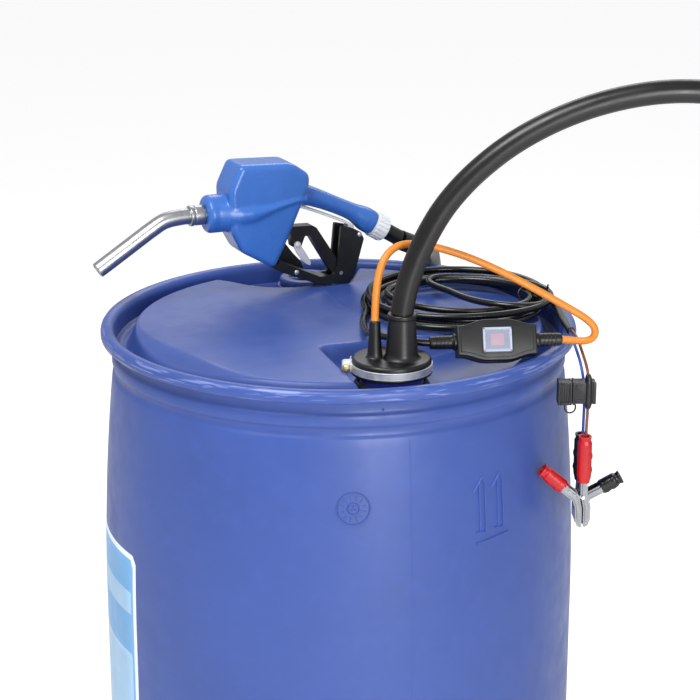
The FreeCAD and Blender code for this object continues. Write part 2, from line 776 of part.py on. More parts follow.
def switch():
    half = box_depth / 2
    frame = switch_frame()
    face_up = turn_to(frame.multVec(Vector(0, 1, 0)))
    cable_room = rod(cable_radius, 200, in_switch(-100, 0, 0), turn_to(SWITCH_ALONG))
    base = rounded(switch_slab(box_outline(0), -half, 0.01), 3, along_thickness)
    node(cut(base, switch_slab(box_outline(shell_wall), -half + shell_wall, 1), cable_room), "switch_base")
    cable_room = rod(cable_radius, 200, in_switch(-100, 0, 0), turn_to(SWITCH_ALONG))
    cover = rounded(switch_slab(box_outline(0), 0.05, half), 3, along_thickness)
    node(cut(
        cover, switch_slab(box_outline(shell_wall), -1, half - shell_wall),
        switch_slab(rectangle(window_length - 6, window_height - 6), 1, half + 1), cable_room,
    ), "switch_cover")
    node(cut(
        switch_slab(rectangle(window_length, window_height), half + 0.05, half + 3.5),
        switch_slab(rectangle(window_length - 4, window_height - 4), half - 1, half + 2.5),
    ), "switch_window")
    module = switch_slab(rectangle(window_length - 7, window_height - 7), -6, half - 3)
    well = switch_slab(rectangle(rocker_length + 2, rocker_height + 1), half - 9, half)
    node(cut(module, well), "switch_module")
    node(fuse([
        switch_slab(rectangle(rocker_length, rocker_height), half - 6, half + 0.4),
        rod(2, rocker_height, in_switch(0, -rocker_height / 2, half - 6), face_up),
    ]), "rocker")
    screws = [
        rod(2.2, 3, in_switch(x, y, -half - 0.8), turn_to(frame.multVec(Vector(0, 0, 1))))
        for x in (-34, 34) for y in (-11, 11)
    ]
    node(group(screws), "switch_screws")
    reliefs = []
    for side in (-1, 1):
        way = SWITCH_ALONG * side
        sleeve = lathe([
            (0, 0), (9.4, 0), (9.4, 3), (8, 4), (7.2, relief_length - 1), (6.4, relief_length),
            (0, relief_length),
        ], in_switch(side * float(box_length) / 2, 0, 0), turn_to(way))
        reliefs.append(sleeve)
    node(group(reliefs), "strain_reliefs")


# ---------------------------------------------------------------- fuse holder

def fuse_holder():
    front = fuse_y - fuse_depth / 2
    back = fuse_y + fuse_depth / 2
    case = block((fuse_split + 0.1, front, fuse_low), (fuse_right, back, fuse_high))
    neck = block((fuse_split - 8, front + 3, fuse_low + 3), (fuse_split + 1, back - 3, fuse_high - 3))
    socket = block((fuse_split - 9, front + 7, fuse_low + 6), (fuse_split + 14, back - 7, fuse_high - 6))
    bosses = [
        rod(3.6, 5, (284, fuse_y, fuse_high - 1)),
        rod(3.6, 5, (284, fuse_y, fuse_low - 4)),
    ]
    lead_room = rod(lead_radius, 60, (284, fuse_y, 870))
    body = cut(fuse([case, neck] + bosses), socket, lead_room)
    tether = doc.addObject("Part::Feature", "tether")
    tether.Shape = tube_shape([
        (270, -170, 881.9), (270.5, -170, 877), (268.5, -170, 872.5), (264, -170, 870.8),
        (259.8, -170, 872.8), (258, -170, 877), (258.5, -170, 881.5),
    ], 1)
    node(group([body, tether]), "fuse_body")
    lid = block((fuse_left, front, fuse_low), (fuse_split, back, fuse_high))
    room = block((fuse_split - 9, front + 2.9, fuse_low + 2.9), (fuse_split + 1, back - 2.9, fuse_high - 2.9))
    fuse_room = block((fuse_split - 13, front + 6, fuse_low + 5), (fuse_split - 4, back - 6, fuse_high - 5))
    node(cut(lid, room, fuse_room), "fuse_cap")
    fuse_corner = (fuse_split - 2, back - 7.5, fuse_high - 6)
    blade_body = block((fuse_split - 12, front + 7.5, fuse_low + 6), fuse_corner)
    blades = [
        block((fuse_split - 2, fuse_y - 0.4, z), (fuse_split + 8, fuse_y + 0.4, z + 5))
        for z in (fuse_low + 7, fuse_high - 12)
    ]
    node(fuse([blade_body] + blades), "blade_fuse")


# ---------------------------------------------------------------- battery clamps

CLAMP_PIVOTS = {"red": Vector(281, -177, 772), "black": Vector(281.5, -154, 767)}
CLAMP_SIDES = {"red": -1, "black": 1}
CLAMP_LEANS = {"red": 50, "black": 60}
CLAMP_REACHES = {"red": 58, "black": 51}


def clamp_frame():
    """Clamps hang with their flat sides to the front: own Y is up, own Z is towards the front."""
    return FreeCAD.Rotation(Vector(1, 0, 0), Vector(0, 0, 1), Vector(0, -1, 0), "ZXY")


def clamp_way(colour):
    """Directions of a clamp's short arm: along it, and across it to its outer side."""
    side = CLAMP_SIDES[colour]
    lean = math.radians(CLAMP_LEANS[colour])
    way = Vector(side * math.sin(lean), math.cos(lean), 0)
    return way, Vector(way.y, -way.x, 0) * side


def clamp_slab(colour, corners, thickness):
    pivot = CLAMP_PIVOTS[colour]
    return slab(corners, thickness, (pivot.x, pivot.y, pivot.z), clamp_frame())


def clamp_metal(colour):
    """The two folded steel arms of a clamp: a standing one, and a short one that opens it."""
    side = CLAMP_SIDES[colour]
    pivot = CLAMP_PIVOTS[colour]
    way, across = clamp_way(colour)
    reach = CLAMP_REACHES[colour] - 12
    root_low = way * 5.8 + across * 11.2
    root_high = way * 5.2 + across * 0.4
    tip_low = way * reach + across * 11.4
    tip_high = way * reach + across * 1.2
    standing = [
        (-side * 5, -36), (-side * 8, -34), (-side * 9, -14), (-side * 5, 0), (-side * 5, 20),
        (-side * 5, 66), (side * 3, 66), (side * 3, 4), (-side * 0.5, -14), (-side * 0.6, -36),
    ]
    swinging = [
        (side * 5, -36), (side * 8, -34), (side * 9, -14), (root_low.x, root_low.y),
        (tip_low.x, tip_low.y), (tip_high.x, tip_high.y), (root_high.x, root_high.y),
        (side * 3.8, -4), (side * 0.5, -14), (side * 0.4, -36),
    ]
    if side > 0:
        standing.reverse()
    else:
        swinging.reverse()
    wide = float(clamp_width)
    pin_hole = rod(2.05, 40, (pivot.x, pivot.y + 20, pivot.z), turn_to((0, -1, 0)))
    inside = wide - 2 * float(clamp_sheet)
    node(cut(
        clamp_slab(colour, standing, wide - 3),
        clamp_slab(colour, rectangle_between(-3.4, -40, 3.4, 64), inside - 3), pin_hole,
    ), f"{colour}_clamp_arm")
    cheeks = clamp_slab(colour, rectangle_between(-5, -5, 5, 5), wide)
    node(cut(
        fuse([clamp_slab(colour, swinging, wide), cheeks]),
        clamp_slab(colour, rectangle_between(-7, -60, 7, 60), inside), pin_hole,
    ), f"{colour}_clamp_lever")


def clamp_grips(colour):
    """The soft sleeves on the clamp's two arms."""
    side = CLAMP_SIDES[colour]
    wide = float(clamp_width)
    grip = [(-side * 8.5, 18), (-side * 8.5, 72), (side * 8.5, 72), (side * 8.5, 18)]
    if side > 0:
        grip.reverse()
    node(cut(
        rounded(clamp_slab(colour, grip, wide + 3), 3, along_thickness),
        clamp_slab(colour, [(-5.2, 10), (5.2, 10), (5.2, 68), (-5.2, 68)], wide - 2.9),
    ), f"{colour}_clamp_grip")
    way, across = clamp_way(colour)
    start = way * 18 + across * 6
    tip = way * CLAMP_REACHES[colour] + across * 6
    rim = across * side * 8
    corners = [start - rim, tip - rim, tip + rim, start + rim]
    boot = rounded(clamp_slab(colour, [(p.x, p.y) for p in corners], wide + 3), 3, along_thickness)
    slit_half = across * side * 5.9
    back = way * 4
    slit = [
        start - slit_half - back, tip - slit_half - back, tip + slit_half - back,
        start + slit_half - back,
    ]
    node(cut(boot, clamp_slab(colour, [(p.x, p.y) for p in slit], wide + 0.1)), f"{colour}_lever_grip")


def rectangle_between(left, low, right, high):
    return [(left, low), (right, low), (right, high), (left, high)]


def clamp_small_parts():
    pins = []
    springs = []
    for pivot in CLAMP_PIVOTS.values():
        shank = rod(2, float(clamp_width) + 4, (pivot.x, pivot.y + float(clamp_width) / 2 + 2, pivot.z),
                    turn_to((0, -1, 0)))
        pins.append(shank)
        springs.append(lathe([(2.3, -3.2), (3.3, -3.2), (3.3, 3.2), (2.3, 3.2)],
                             (pivot.x, pivot.y, pivot.z), turn_to((0, -1, 0))))
    node(group(pins), "clamp_pins")
    node(group(springs), "clamp_springs")


# ---------------------------------------------------------------- nozzle

NOZZLE_FOOT = Vector(-21, 162.9, 932.5)
NOZZLE_YAW = 24
SWIVEL_DROP = 31
SWIVEL_START = (69, 73.6)
LEVER_PIVOT = (21, 15)
LATCH_PIVOT = (-38, 58)


def nozzle_frame():
    """Own X runs along the nozzle to its hose, own Y is up, and own Z is towards the front."""
    yaw = math.radians(NOZZLE_YAW)
    along = Vector(math.cos(yaw), math.sin(yaw), 0)
    up = Vector(0, 0, 1)
    return FreeCAD.Rotation(along, up, along.cross(up), "ZXY")


def in_nozzle(x, y, z=0):
    spot = NOZZLE_FOOT + nozzle_frame().multVec(Vector(float(x), float(y), float(z)))
    return (spot.x, spot.y, spot.z)


def nozzle_way(x, y, z=0):
    return nozzle_frame().multVec(Vector(x, y, z))


def nozzle_slab(corners, thickness):
    return slab(corners, thickness, in_nozzle(0, 0), nozzle_frame())


def swivel_way():
    drop = math.radians(SWIVEL_DROP)
    return (math.cos(drop), -math.sin(drop))


def along_swivel(distance):
    x, y = SWIVEL_START
    return (x + swivel_way()[0] * distance, y + swivel_way()[1] * distance)


def cross_pin(spot, radius, half_length):
    """A pin across the nozzle at a point of its side view."""
    return rod(radius, 2 * half_length, in_nozzle(spot[0], spot[1], -float(half_length)),
               turn_to(nozzle_way(0, 0, 1)))


def nozzle():
    housing = rounded(nozzle_slab([
        (-133, 86), (-116, 58), (-107, 53), (-73, 35), (-66, 37), (-44, 74), (-30, 107), (-19, 133),
        (-19, 150), (-46, 167), (-118, 171), (-133, 139),
    ], 2 * body_half), 7, along_thickness)
    rounded(housing, 5, on_faces)
    handle = rounded(nozzle_slab([
        (-45, 102), (-26, 110), (36, 82), (58, 62), (76, 88), (56, 100), (40, 103), (-16, 132), (-45, 140),
    ], 2 * grip_half), 5, on_faces)
    nose = lathe([
        (0, 0), (20, 0), (nose_radius, 4), (nose_radius, 28), (nose_radius + 3, 42), (0, 42),
    ], in_nozzle(-160, 107), turn_to(nozzle_way(1, 0)))
    x, y = along_swivel(-16)
    spigot_room = rod(9 + running_gap, 30, in_nozzle(x, y), turn_to(nozzle_way(*swivel_way())))
    mouth = rod(spout_radius + 0.02, 24, in_nozzle(-162, 107), turn_to(nozzle_way(1, 0)))
    chamber = rod(14, 66, in_nozzle(-140, 107), turn_to(nozzle_way(1, 0)))
    slot = nozzle_slab([(-80, 30), (-25, 30), (-25, 84), (-60, 84)], 2 * lever_half + 3)
    node(cut(fuse([housing, handle, nose]), spigot_room, mouth, chamber, slot), "nozzle_body")
    node(nozzle_slab([(-26, 106.5), (-25, 109.3), (36, 81.7), (43, 75.4), (41, 72), (35, 78)], 18),
         "handle_strip")


def spout():
    """The bent steel outlet tube with its union nut."""
    sx, sy, sz = in_nozzle(-140, 107)
    bend = in_nozzle(-214, 102.5)
    tip = in_nozzle(-299.5, 50.3)
    second = in_nozzle(-192, 107)
    knee = in_nozzle(-245, 84.5)
    tube("spout", [[(sx, sy, sz), second, bend, knee, tip]], spout_radius, spout_bore)
    node(lathe([
        (spout_radius + 0.02, 0), (nut_radius - 2, 0), (nut_radius, 2), (nut_radius, 15),
        (nut_radius - 1.5, 19), (spout_radius + 0.02, 19),
    ], in_nozzle(-180, 107), turn_to(nozzle_way(1, 0))), "spout_nut")


def guard_and_levers():
    guard = rounded(nozzle_slab([
        (-84, 38), (-62, 25), (-9, 2.4), (33, 0.2), (40, 11), (53, 57), (49, 66), (35, 73.5), (21, 77),
        (16, 26), (10, 14), (-8, 13), (-54, 35), (-70, 45),
    ], 2 * guard_half), 2, along_thickness)
    slot = nozzle_slab([(-46, 40), (-2, 14), (28, 5), (33, 18), (36, 90), (-20, 90)], 2 * lever_half + 1.4)
    housing_room = nozzle_slab([(-107.2, 52.8), (-73, 34.8), (-65.8, 36.8), (-43.8, 74), (-100, 90)], 60)
    node(cut(guard, slot, housing_room, cross_pin(LEVER_PIVOT, float(pin_radius), 40)), "guard")
    lever = rounded(nozzle_slab([
        (-46, 71), (-43, 54), (-33, 52), (-27, 67.5), (-20, 67), (13, 12), (17, 8.5), (25, 9), (28, 16),
        (24, 23), (-11, 77), (-17, 80.5), (-43, 81.5),
    ], 2 * lever_half), 2, along_thickness)
    node(cut(
        lever, cross_pin(LEVER_PIVOT, float(pin_radius + running_gap), 40),
        cross_pin(LATCH_PIVOT, float(pin_radius + running_gap), 40),
    ), "lever")
    latch = nozzle_slab([
        (-40, 62), (-42, 57), (-36, 41), (-31, 32), (-22, 27), (-20, 32), (-27, 38), (-32, 52), (-33, 60),
    ], 2)
    latch = place_aside(latch, float(lever_half) + 1.2)
    rivet = cross_pin(LATCH_PIVOT, float(pin_radius), float(lever_half) + 1.5)
    node(fuse([latch, rivet]), "hold_open_latch")
    node(cross_pin(LEVER_PIVOT, float(pin_radius), float(guard_half)), "lever_pin")


def place_aside(thing, distance):
    """Shift a plate of the nozzle towards the front."""
    return place(thing, in_nozzle(0, 0, distance), nozzle_frame())


def valve():
    """The poppet valve in the nozzle's chamber, with its spring."""
    way = turn_to(nozzle_way(1, 0))
    node(lathe([
        (0, 0), (9, 0), (13, 3), (13, 7), (3, 9), (3, 40), (0, 40),
    ], in_nozzle(-133, 107), way), "valve_poppet")
    node(lathe([(4, 0), (8, 0), (8, 45), (4, 45)], in_nozzle(-119.5, 107), way), "valve_spring")


def swivel():
    """The ribbed swivel nut at the handle's end, and the hose tail that turns in the handle."""
    way = turn_to(nozzle_way(*swivel_way()))
    x, y = along_swivel(0.3)
    ribs = []
    for number in range(18):
        angle = math.radians(20 * number)
        rib = doc.addObject("Part::Box", "rib")
        rib.Length = 2.6
        rib.Width = 2.6
        rib.Height = 15
        spin = way.multiply(FreeCAD.Rotation(Vector(0, 0, 1), 20 * number))
        offset = way.multVec(Vector(15.6 * math.cos(angle), 15.6 * math.sin(angle), 3))
        centre = offset - spin.multVec(Vector(1.3, 1.3, 0))
        base = Vector(*in_nozzle(x, y)) + centre
        ribs.append(place(rib, (base.x, base.y, base.z), spin))
    ring = lathe([
        (9.5, 0), (swivel_radius - 1, 0), (swivel_radius - 1, 20), (swivel_radius - 3, 21), (9.5, 21),
    ], in_nozzle(x, y), way)
    node(fuse([ring] + ribs), "swivel_nut")
    x, y = along_swivel(-15)
    node(lathe([
        (6, 0), (9, 0), (9, 36.4), (tail_radius + 1.5, 36.4), (tail_radius + 1.5, 39), (tail_radius, 40),
        (tail_radius, 62), (6, 62),
    ], in_nozzle(x, y), way), "swivel_tail")


# ---------------------------------------------------------------- assembly

def check_and_write():
    """Stop on any failed object or shape, then write one STEP file for each sub-part."""
    doc.recompute()
    for thing in doc.Objects:
        if "Invalid" in thing.State or "Error" in thing.State:
            raise RuntimeError(f"{thing.Label} failed: {thing.State}")
    for thing in nodes:
        if thing.Shape.isNull() or not thing.Shape.isValid() or not thing.Shape.Solids:
            raise RuntimeError(f"{thing.Label} has no valid solid")
    os.makedirs("parts", exist_ok=True)
    for thing in nodes:
        print(f"{thing.Label}: {len(thing.Shape.Solids)} solid, {thing.Shape.Volume / 1000:.2f} cm3")
        thing.Shape.exportStep(f"parts/{thing.Label}.step")


drum()
rear_bung()
cap()
band()
pump_casing_parts()
impeller_and_shaft()
motor()
pump_top()
riser()
leads()
coil()
switch()
fuse_holder()
for clamp_colour in CLAMP_PIVOTS:
    clamp_metal(clamp_colour)
    clamp_grips(clamp_colour)
clamp_small_parts()
nozzle()
spout()
guard_and_levers()
valve()
swivel()
check_and_write()
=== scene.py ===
"""Drum barrel pump: looks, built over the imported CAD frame. Lengths are in metres."""
import json
import math

import bmesh
import bpy
from mathutils import Matrix, Vector


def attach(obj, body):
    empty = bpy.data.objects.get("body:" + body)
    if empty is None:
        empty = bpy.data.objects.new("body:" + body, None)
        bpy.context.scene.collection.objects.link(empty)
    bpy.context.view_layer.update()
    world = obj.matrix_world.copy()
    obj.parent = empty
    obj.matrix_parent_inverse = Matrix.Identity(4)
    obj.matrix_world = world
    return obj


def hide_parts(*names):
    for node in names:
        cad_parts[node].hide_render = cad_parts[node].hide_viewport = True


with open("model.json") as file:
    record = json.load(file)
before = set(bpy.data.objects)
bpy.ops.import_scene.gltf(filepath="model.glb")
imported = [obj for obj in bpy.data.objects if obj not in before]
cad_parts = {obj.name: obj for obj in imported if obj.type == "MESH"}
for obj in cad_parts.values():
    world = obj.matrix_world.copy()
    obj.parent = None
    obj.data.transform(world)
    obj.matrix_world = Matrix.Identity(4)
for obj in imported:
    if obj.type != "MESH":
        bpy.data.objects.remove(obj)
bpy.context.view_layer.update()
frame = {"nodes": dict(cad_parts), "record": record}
nodes = frame["nodes"]
scene = bpy.context.scene


# ---- camera and studio

# The camera: sensor width in millimetres, focal length in sensor widths, place, and how far its
# line of sight dips below level and turns about the upright, in degrees.
SENSOR_WIDTH = 36
FOCAL_WIDTHS = 2060 / 700
CAMERA_PLACE = (0, -2.3963, 1.6375)
CAMERA_DIP = 17.25
CAMERA_YAW = -0.331
CLIP_END = 200
# Each light: name, place, the point it faces, width and height, and power.
LIGHTS = (
    ("key", (-1.0, -1.3, 3.3), (0, 0, 0.9), (1.3, 1.3), 66),
    ("front", (1.0, -3.0, 1.3), (0, 0, 0.6), (0.9, 1.5), 56),
    ("rim", (0.4, 2.4, 2.8), (0, 0, 0.9), (2.2, 1.2), 26),
)
WHITE = (1, 1, 1, 1)
PAPER = (0.96, 0.96, 0.96, 1)
FLOOR_SIZE = 60
# Brightness of the world, as it lights and as it is seen, and of the floor's glow where seen.
WORLD_LIT, WORLD_SEEN, FLOOR_GLOW = 0.56, 1.0, 0.4


def make_camera():
    data = bpy.data.cameras.new("camera")
    data.sensor_width = SENSOR_WIDTH
    data.lens = FOCAL_WIDTHS * SENSOR_WIDTH
    data.clip_end = CLIP_END
    camera = bpy.data.objects.new("camera", data)
    camera.location = CAMERA_PLACE
    camera.rotation_euler = (math.radians(90 - CAMERA_DIP), 0, math.radians(CAMERA_YAW))
    scene.collection.objects.link(camera)
    scene.camera = camera


def area_light(name, place, aim, size, power):
    data = bpy.data.lights.new(name, "AREA")
    data.shape = "RECTANGLE"
    data.size, data.size_y = size
    data.energy = power
    lamp = bpy.data.objects.new(name, data)
    lamp.location = place
    lamp.rotation_euler = (Vector(aim) - Vector(place)).to_track_quat("-Z", "Y").to_euler()
    scene.collection.objects.link(lamp)


def backdrop_glow(tree, socket, lit, seen):
    """A brightness that is white to look at, yet lights the object less than that."""
    strength = tree.nodes.new("ShaderNodeMapRange")
    strength.inputs["To Min"].default_value = lit
    strength.inputs["To Max"].default_value = seen
    path = tree.nodes.new("ShaderNodeLightPath")
    tree.links.new(path.outputs["Is Camera Ray"], strength.inputs["Value"])
    tree.links.new(strength.outputs["Result"], socket)


def make_studio():
    scene.view_settings.view_transform = "Standard"
    world = bpy.data.worlds.new("studio")
    world.use_nodes = True
    background = world.node_tree.nodes["Background"]
    background.inputs["Color"].default_value = WHITE
    backdrop_glow(world.node_tree, background.inputs["Strength"], WORLD_LIT, WORLD_SEEN)
    scene.world = world
    for light in LIGHTS:
        area_light(*light)
    bpy.ops.mesh.primitive_plane_add(size=FLOOR_SIZE)
    floor = bpy.context.object
    floor.name = "floor"
    paper = Finish("floor_paper", PAPER, 0.9, with_coords=False)
    paper.set(Emission_Color=WHITE)
    backdrop_glow(paper.tree, paper.shader.inputs["Emission Strength"], 0, FLOOR_GLOW)
    floor.data.materials.append(paper.material)


# ---- materials

def srgb(red, green, blue):
    """Linear colour from 0-255 display values."""
    return tuple(
        (value / 255 / 12.92) if value <= 10 else ((value / 255 + 0.055) / 1.055) ** 2.4
        for value in (red, green, blue)
    ) + (1,)


class Finish:
    """A procedural material: colour drift, worn edges, roughness drift, and two scales of bump."""

    def __init__(self, name, colour, rough, with_coords=True):
        self.material = bpy.data.materials.new(name)
        self.material.use_nodes = True
        self.tree = self.material.node_tree
        self.shader = self.tree.nodes["Principled BSDF"]
        if with_coords:
            self.coords = self.add("ShaderNodeTexCoord").outputs["Object"]
        self.base = colour
        self.colour = None
        self.normal = None
        self.set(Base_Color=colour, Roughness=rough)

    def set(self, **inputs):
        for key, value in inputs.items():
            self.shader.inputs[key.replace("_", " ")].default_value = value

    def add(self, kind, values=(), links=(), **settings):
        """A node with its settings, its inputs' values and the sockets that feed its inputs."""
        made = self.tree.nodes.new(kind)
        for key, value in settings.items():
            setattr(made, key, value)
        for key, value in values:
            made.inputs[key].default_value = value
        for key, source in links:
            self.tree.links.new(source, made.inputs[key])
        return made

    def feed(self, source, name):
        self.tree.links.new(source, self.shader.inputs[name])
        return source

    def noise(self, scale, detail=4, stretch=(1, 1, 1), distortion=0):
        mapping = self.add("ShaderNodeMapping", [("Scale", stretch)], [("Vector", self.coords)])
        values = [("Scale", scale), ("Detail", detail), ("Distortion", distortion)]
        return self.add("ShaderNodeTexNoise", values, [("Vector", mapping.outputs["Vector"])]).outputs["Fac"]

    def ramp(self, source, low, high, first=0.0, last=1.0):
        values = [("From Min", low), ("From Max", high), ("To Min", first), ("To Max", last)]
        return self.add("ShaderNodeMapRange", values, [("Value", source)]).outputs["Result"]

    def times(self, first, second):
        made = self.add("ShaderNodeMath", [], [(0, first), (1, second)], operation="MULTIPLY")
        return made.outputs[0]

    def height_and_reach(self):
        """Height above the floor, and distance from the upright axis."""
        parts = self.add("ShaderNodeSeparateXYZ", [], [(0, self.coords)])
        flat = self.add("ShaderNodeVectorMath", [(1, (1, 1, 0))], [(0, self.coords)], operation="MULTIPLY")
        length = self.add("ShaderNodeVectorMath", [], [(0, flat.outputs[0])], operation="LENGTH")
        return parts.outputs["Z"], length.outputs["Value"]

    def blend(self, factor, second, strength=1.0):
        """Mix a second colour over what the surface has so far."""
        scaled = self.add("ShaderNodeMath", [(1, strength)], [(0, factor)], operation="MULTIPLY")
        mix = self.add("ShaderNodeMix", [], [("Factor", scaled.outputs[0])], data_type="RGBA")
        if self.colour is None:
            mix.inputs[6].default_value = self.base
        else:
            self.tree.links.new(self.colour, mix.inputs[6])
        mix.inputs[7].default_value = second
        self.colour = self.feed(mix.outputs[2], "Base Color")

    def bump(self, source, strength, distance):
        links = [("Height", source)] + ([("Normal", self.normal)] if self.normal else [])
        made = self.add("ShaderNodeBump", [("Strength", strength), ("Distance", distance)], links)
        self.normal = self.feed(made.outputs["Normal"], "Normal")

    def rough_drift(self, source, first, last):
        self.feed(self.ramp(source, 0.3, 0.7, first, last), "Roughness")

    def edges(self, colour, strength=0.5):
        """Lighter worn edges, where the surface turns sharply outwards."""
        pointiness = self.add("ShaderNodeNewGeometry").outputs["Pointiness"]
        self.blend(self.ramp(pointiness, 0.51, 0.58), colour, strength)


def tone(colour, factor):
    return tuple(min(1, channel * factor) for channel in colour[:3]) + (1,)


# Distance from the axis, and lowest and highest point, of the scuffed face of the top ring.
RING_FACE = (0.280, 0.9215, 0.934)
SCUFF = srgb(150, 164, 214)


def moulded(name, colour, rough, grain=1400, relief=0.00004, drift=0.16, scuffed=None):
    """Moulded plastic or rubber with a fine grain, faint mottling and paler edges."""
    made = Finish(name, colour, rough)
    made.blend(made.ramp(made.noise(9, 5), 0.35, 0.7), tone(colour, 1 - drift))
    made.blend(made.ramp(made.noise(60, 3), 0.5, 0.75), tone(colour, 1 + drift), 0.6)
    made.edges(tone(colour, 1.35))
    if scuffed:
        reach, low, high = scuffed
        height, away = made.height_and_reach()
        above = made.ramp(height, low - 0.002, low + 0.002)
        below = made.ramp(height, high + 0.001, high - 0.001)
        outer = made.ramp(away, reach - 0.002, reach + 0.002)
        streaks = made.ramp(made.noise(22, 7, stretch=(1, 1, 14), distortion=0.6), 0.53, 0.62)
        made.blend(made.times(made.times(made.times(above, below), outer), streaks), SCUFF, 0.42)
    made.rough_drift(made.noise(35, 4), rough - 0.06, rough + 0.08)
    made.bump(made.noise(grain, 2), 0.5, relief)
    made.bump(made.noise(14, 3), 0.25, relief * 12)
    return made.material


def metal(name, colour, rough, blotch=0.2, relief=0.00005, share=1.0):
    """Metal with darker blotches and brighter edges; the share says how metallic it is."""
    made = Finish(name, colour, rough)
    made.blend(made.ramp(made.noise(22, 5), 0.4, 0.7), tone(colour, 1 - blotch), 0.8)
    made.edges(tone(colour, 1.15), 0.6)
    made.rough_drift(made.noise(160, 4), rough * 0.85, rough * 1.25)
    if relief:
        made.bump(made.noise(420, 3), 0.25, relief)
    made.set(Metallic=share)
    return made.material


def see_through(name, colour, rough):
    """Thin clear plastic that shows what lies behind it."""
    made = Finish(name, colour, rough)
    made.edges(tone(colour, 1.2))
    made.rough_drift(made.noise(120, 3), rough, rough * 1.8)
    made.set(Alpha=0.3)
    return made.material


make_camera()
make_studio()

# Each finish: its kind, display colour, roughness, and what it changes of the kind's defaults.
FINISHES = {
    "drum_plastic": (moulded, (53, 78, 150), 0.38,
                     {"grain": 900, "relief": 0.00006, "drift": 0.1, "scuffed": RING_FACE}),
    "bung_plastic": (moulded, (58, 86, 165), 0.4, {}),
    "cap_rubber": (moulded, (13, 13, 15), 0.36, {"grain": 700, "relief": 0.00006}),
    "bright_steel": (metal, (176, 177, 180), 0.33, {"blotch": 0.06, "relief": 0}),
    "zinc_steel": (metal, (214, 216, 218), 0.34, {"blotch": 0.1, "relief": 0}),
    # The latch's finish is a lighter, half-metallic copy of the zinc steel: painted light, so the leaf stays
    # bright silver where it lies in shade and reflects dark surroundings.
    "latch_steel": (metal, (226, 227, 230), 0.4, {"blotch": 0.08, "relief": 0, "share": 0.45}),
    # The neck's finish is a lighter, bluer copy of the drum plastic: painted light on the neck, which lies in
    # the cap's shade.
    "neck_plastic": (moulded, (70, 84, 200), 0.34, {"grain": 900, "relief": 0.00006, "drift": 0.1}),
    "clamp_steel": (metal, (150, 152, 156), 0.22, {"blotch": 0.35, "relief": 0.00002}),
    "hose_rubber": (moulded, (9, 9, 11), 0.34, {"grain": 600, "relief": 0.00005}),
    "orange_sheath": (moulded, (208, 126, 38), 0.42, {"drift": 0.1}),
    "black_sheath": (moulded, (9, 9, 11), 0.24, {}),
    "live_sheath": (moulded, (112, 62, 38), 0.4, {}),
    "return_sheath": (moulded, (48, 88, 178), 0.4, {}),
    "black_plastic": (moulded, (15, 16, 19), 0.38, {}),
    "clear_plastic": (see_through, (196, 206, 228), 0.14, {}),
    "red_plastic": (moulded, (206, 62, 66), 0.35, {}),
    "fuse_plastic": (moulded, (36, 36, 40), 0.5, {}),
    "red_sleeve": (moulded, (180, 6, 16), 0.34, {}),
    "black_sleeve": (moulded, (10, 10, 12), 0.3, {}),
    "nozzle_plastic": (moulded, (54, 104, 184), 0.26, {"drift": 0.06}),
    "grey_plastic": (moulded, (206, 210, 214), 0.4, {"drift": 0.06}),
    "magnet_iron": (moulded, (70, 70, 72), 0.5, {}),
    "bearing_bronze": (metal, (178, 128, 76), 0.35, {}),
    "band_steel": (metal, (214, 218, 222), 0.55, {"blotch": 0.04, "relief": 0}),
    "worm_brass": (metal, (206, 184, 128), 0.32, {}),
    "window_frame": (moulded, (176, 184, 206), 0.3, {"drift": 0.05}),
    "label_white": (moulded, (226, 230, 238), 0.35, {"drift": 0.04}),
    "label_blue": (moulded, (96, 160, 214), 0.35, {"drift": 0.08}),
    "label_pale": (moulded, (150, 190, 224), 0.35, {"drift": 0.08}),
}
MATERIALS = {
    name: kind(name, srgb(*colour), rough, **changes)
    for name, (kind, colour, rough, changes) in FINISHES.items()
}


def dress_nodes():
    """Give every CAD node its finish, by the record's material slots."""
    slots = {part["node"]: part["material_slot"] for part in frame["record"]["subparts"]}
    for name, thing in nodes.items():
        thing.data.materials.clear()
        thing.data.materials.append(MATERIALS[slots[name]])


# ---- mesh helpers

def make_piece(name, points, faces, finish, body="root", smooth_angle=40):
    """A mesh piece on a CAD body, with its finish and its normals smoothed under an angle."""
    mesh = bpy.data.meshes.new(name)
    mesh.from_pydata([tuple(point) for point in points], [], faces)
    mesh.validate()
    work = bmesh.new()
    work.from_mesh(mesh)
    bmesh.ops.recalc_face_normals(work, faces=work.faces)
    limit = math.radians(smooth_angle)
    for face in work.faces:
        face.smooth = True
    for edge in work.edges:
        edge.smooth = len(edge.link_faces) != 2 or edge.calc_face_angle(0) < limit
    work.to_mesh(mesh)
    work.free()
    piece = bpy.data.objects.new(name, mesh)
    scene.collection.objects.link(piece)
    mesh.materials.append(MATERIALS[finish])
    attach(piece, body)
    return piece


def circle(columns):
    """The cosine and sine of every column's angle, once round."""
    angles = [2 * math.pi * column / columns for column in range(columns)]
    return [(math.cos(angle), math.sin(angle)) for angle in angles]


def grid_faces(rows, columns, closed_rows=False, closed_columns=True):
    """Quads between rings of points; a ring may close on itself, and so may the stack."""
    faces = []
    for row in range(rows if closed_rows else rows - 1):
        here, after = row * columns, (row + 1) % rows * columns
        for column in range(columns if closed_columns else columns - 1):
            beside = (column + 1) % columns
            faces.append((here + column, here + beside, after + beside, after + column))
    return faces


def capped_faces(rows, columns):
    """The skin of a stack of rings, with one face over each end."""
    last = (rows - 1) * columns
    ends = [tuple(reversed(range(columns))), tuple(range(last, last + columns))]
    return grid_faces(rows, columns) + ends


def ease(share):
    share = min(1, max(0, share))
    return share * share * (3 - 2 * share)


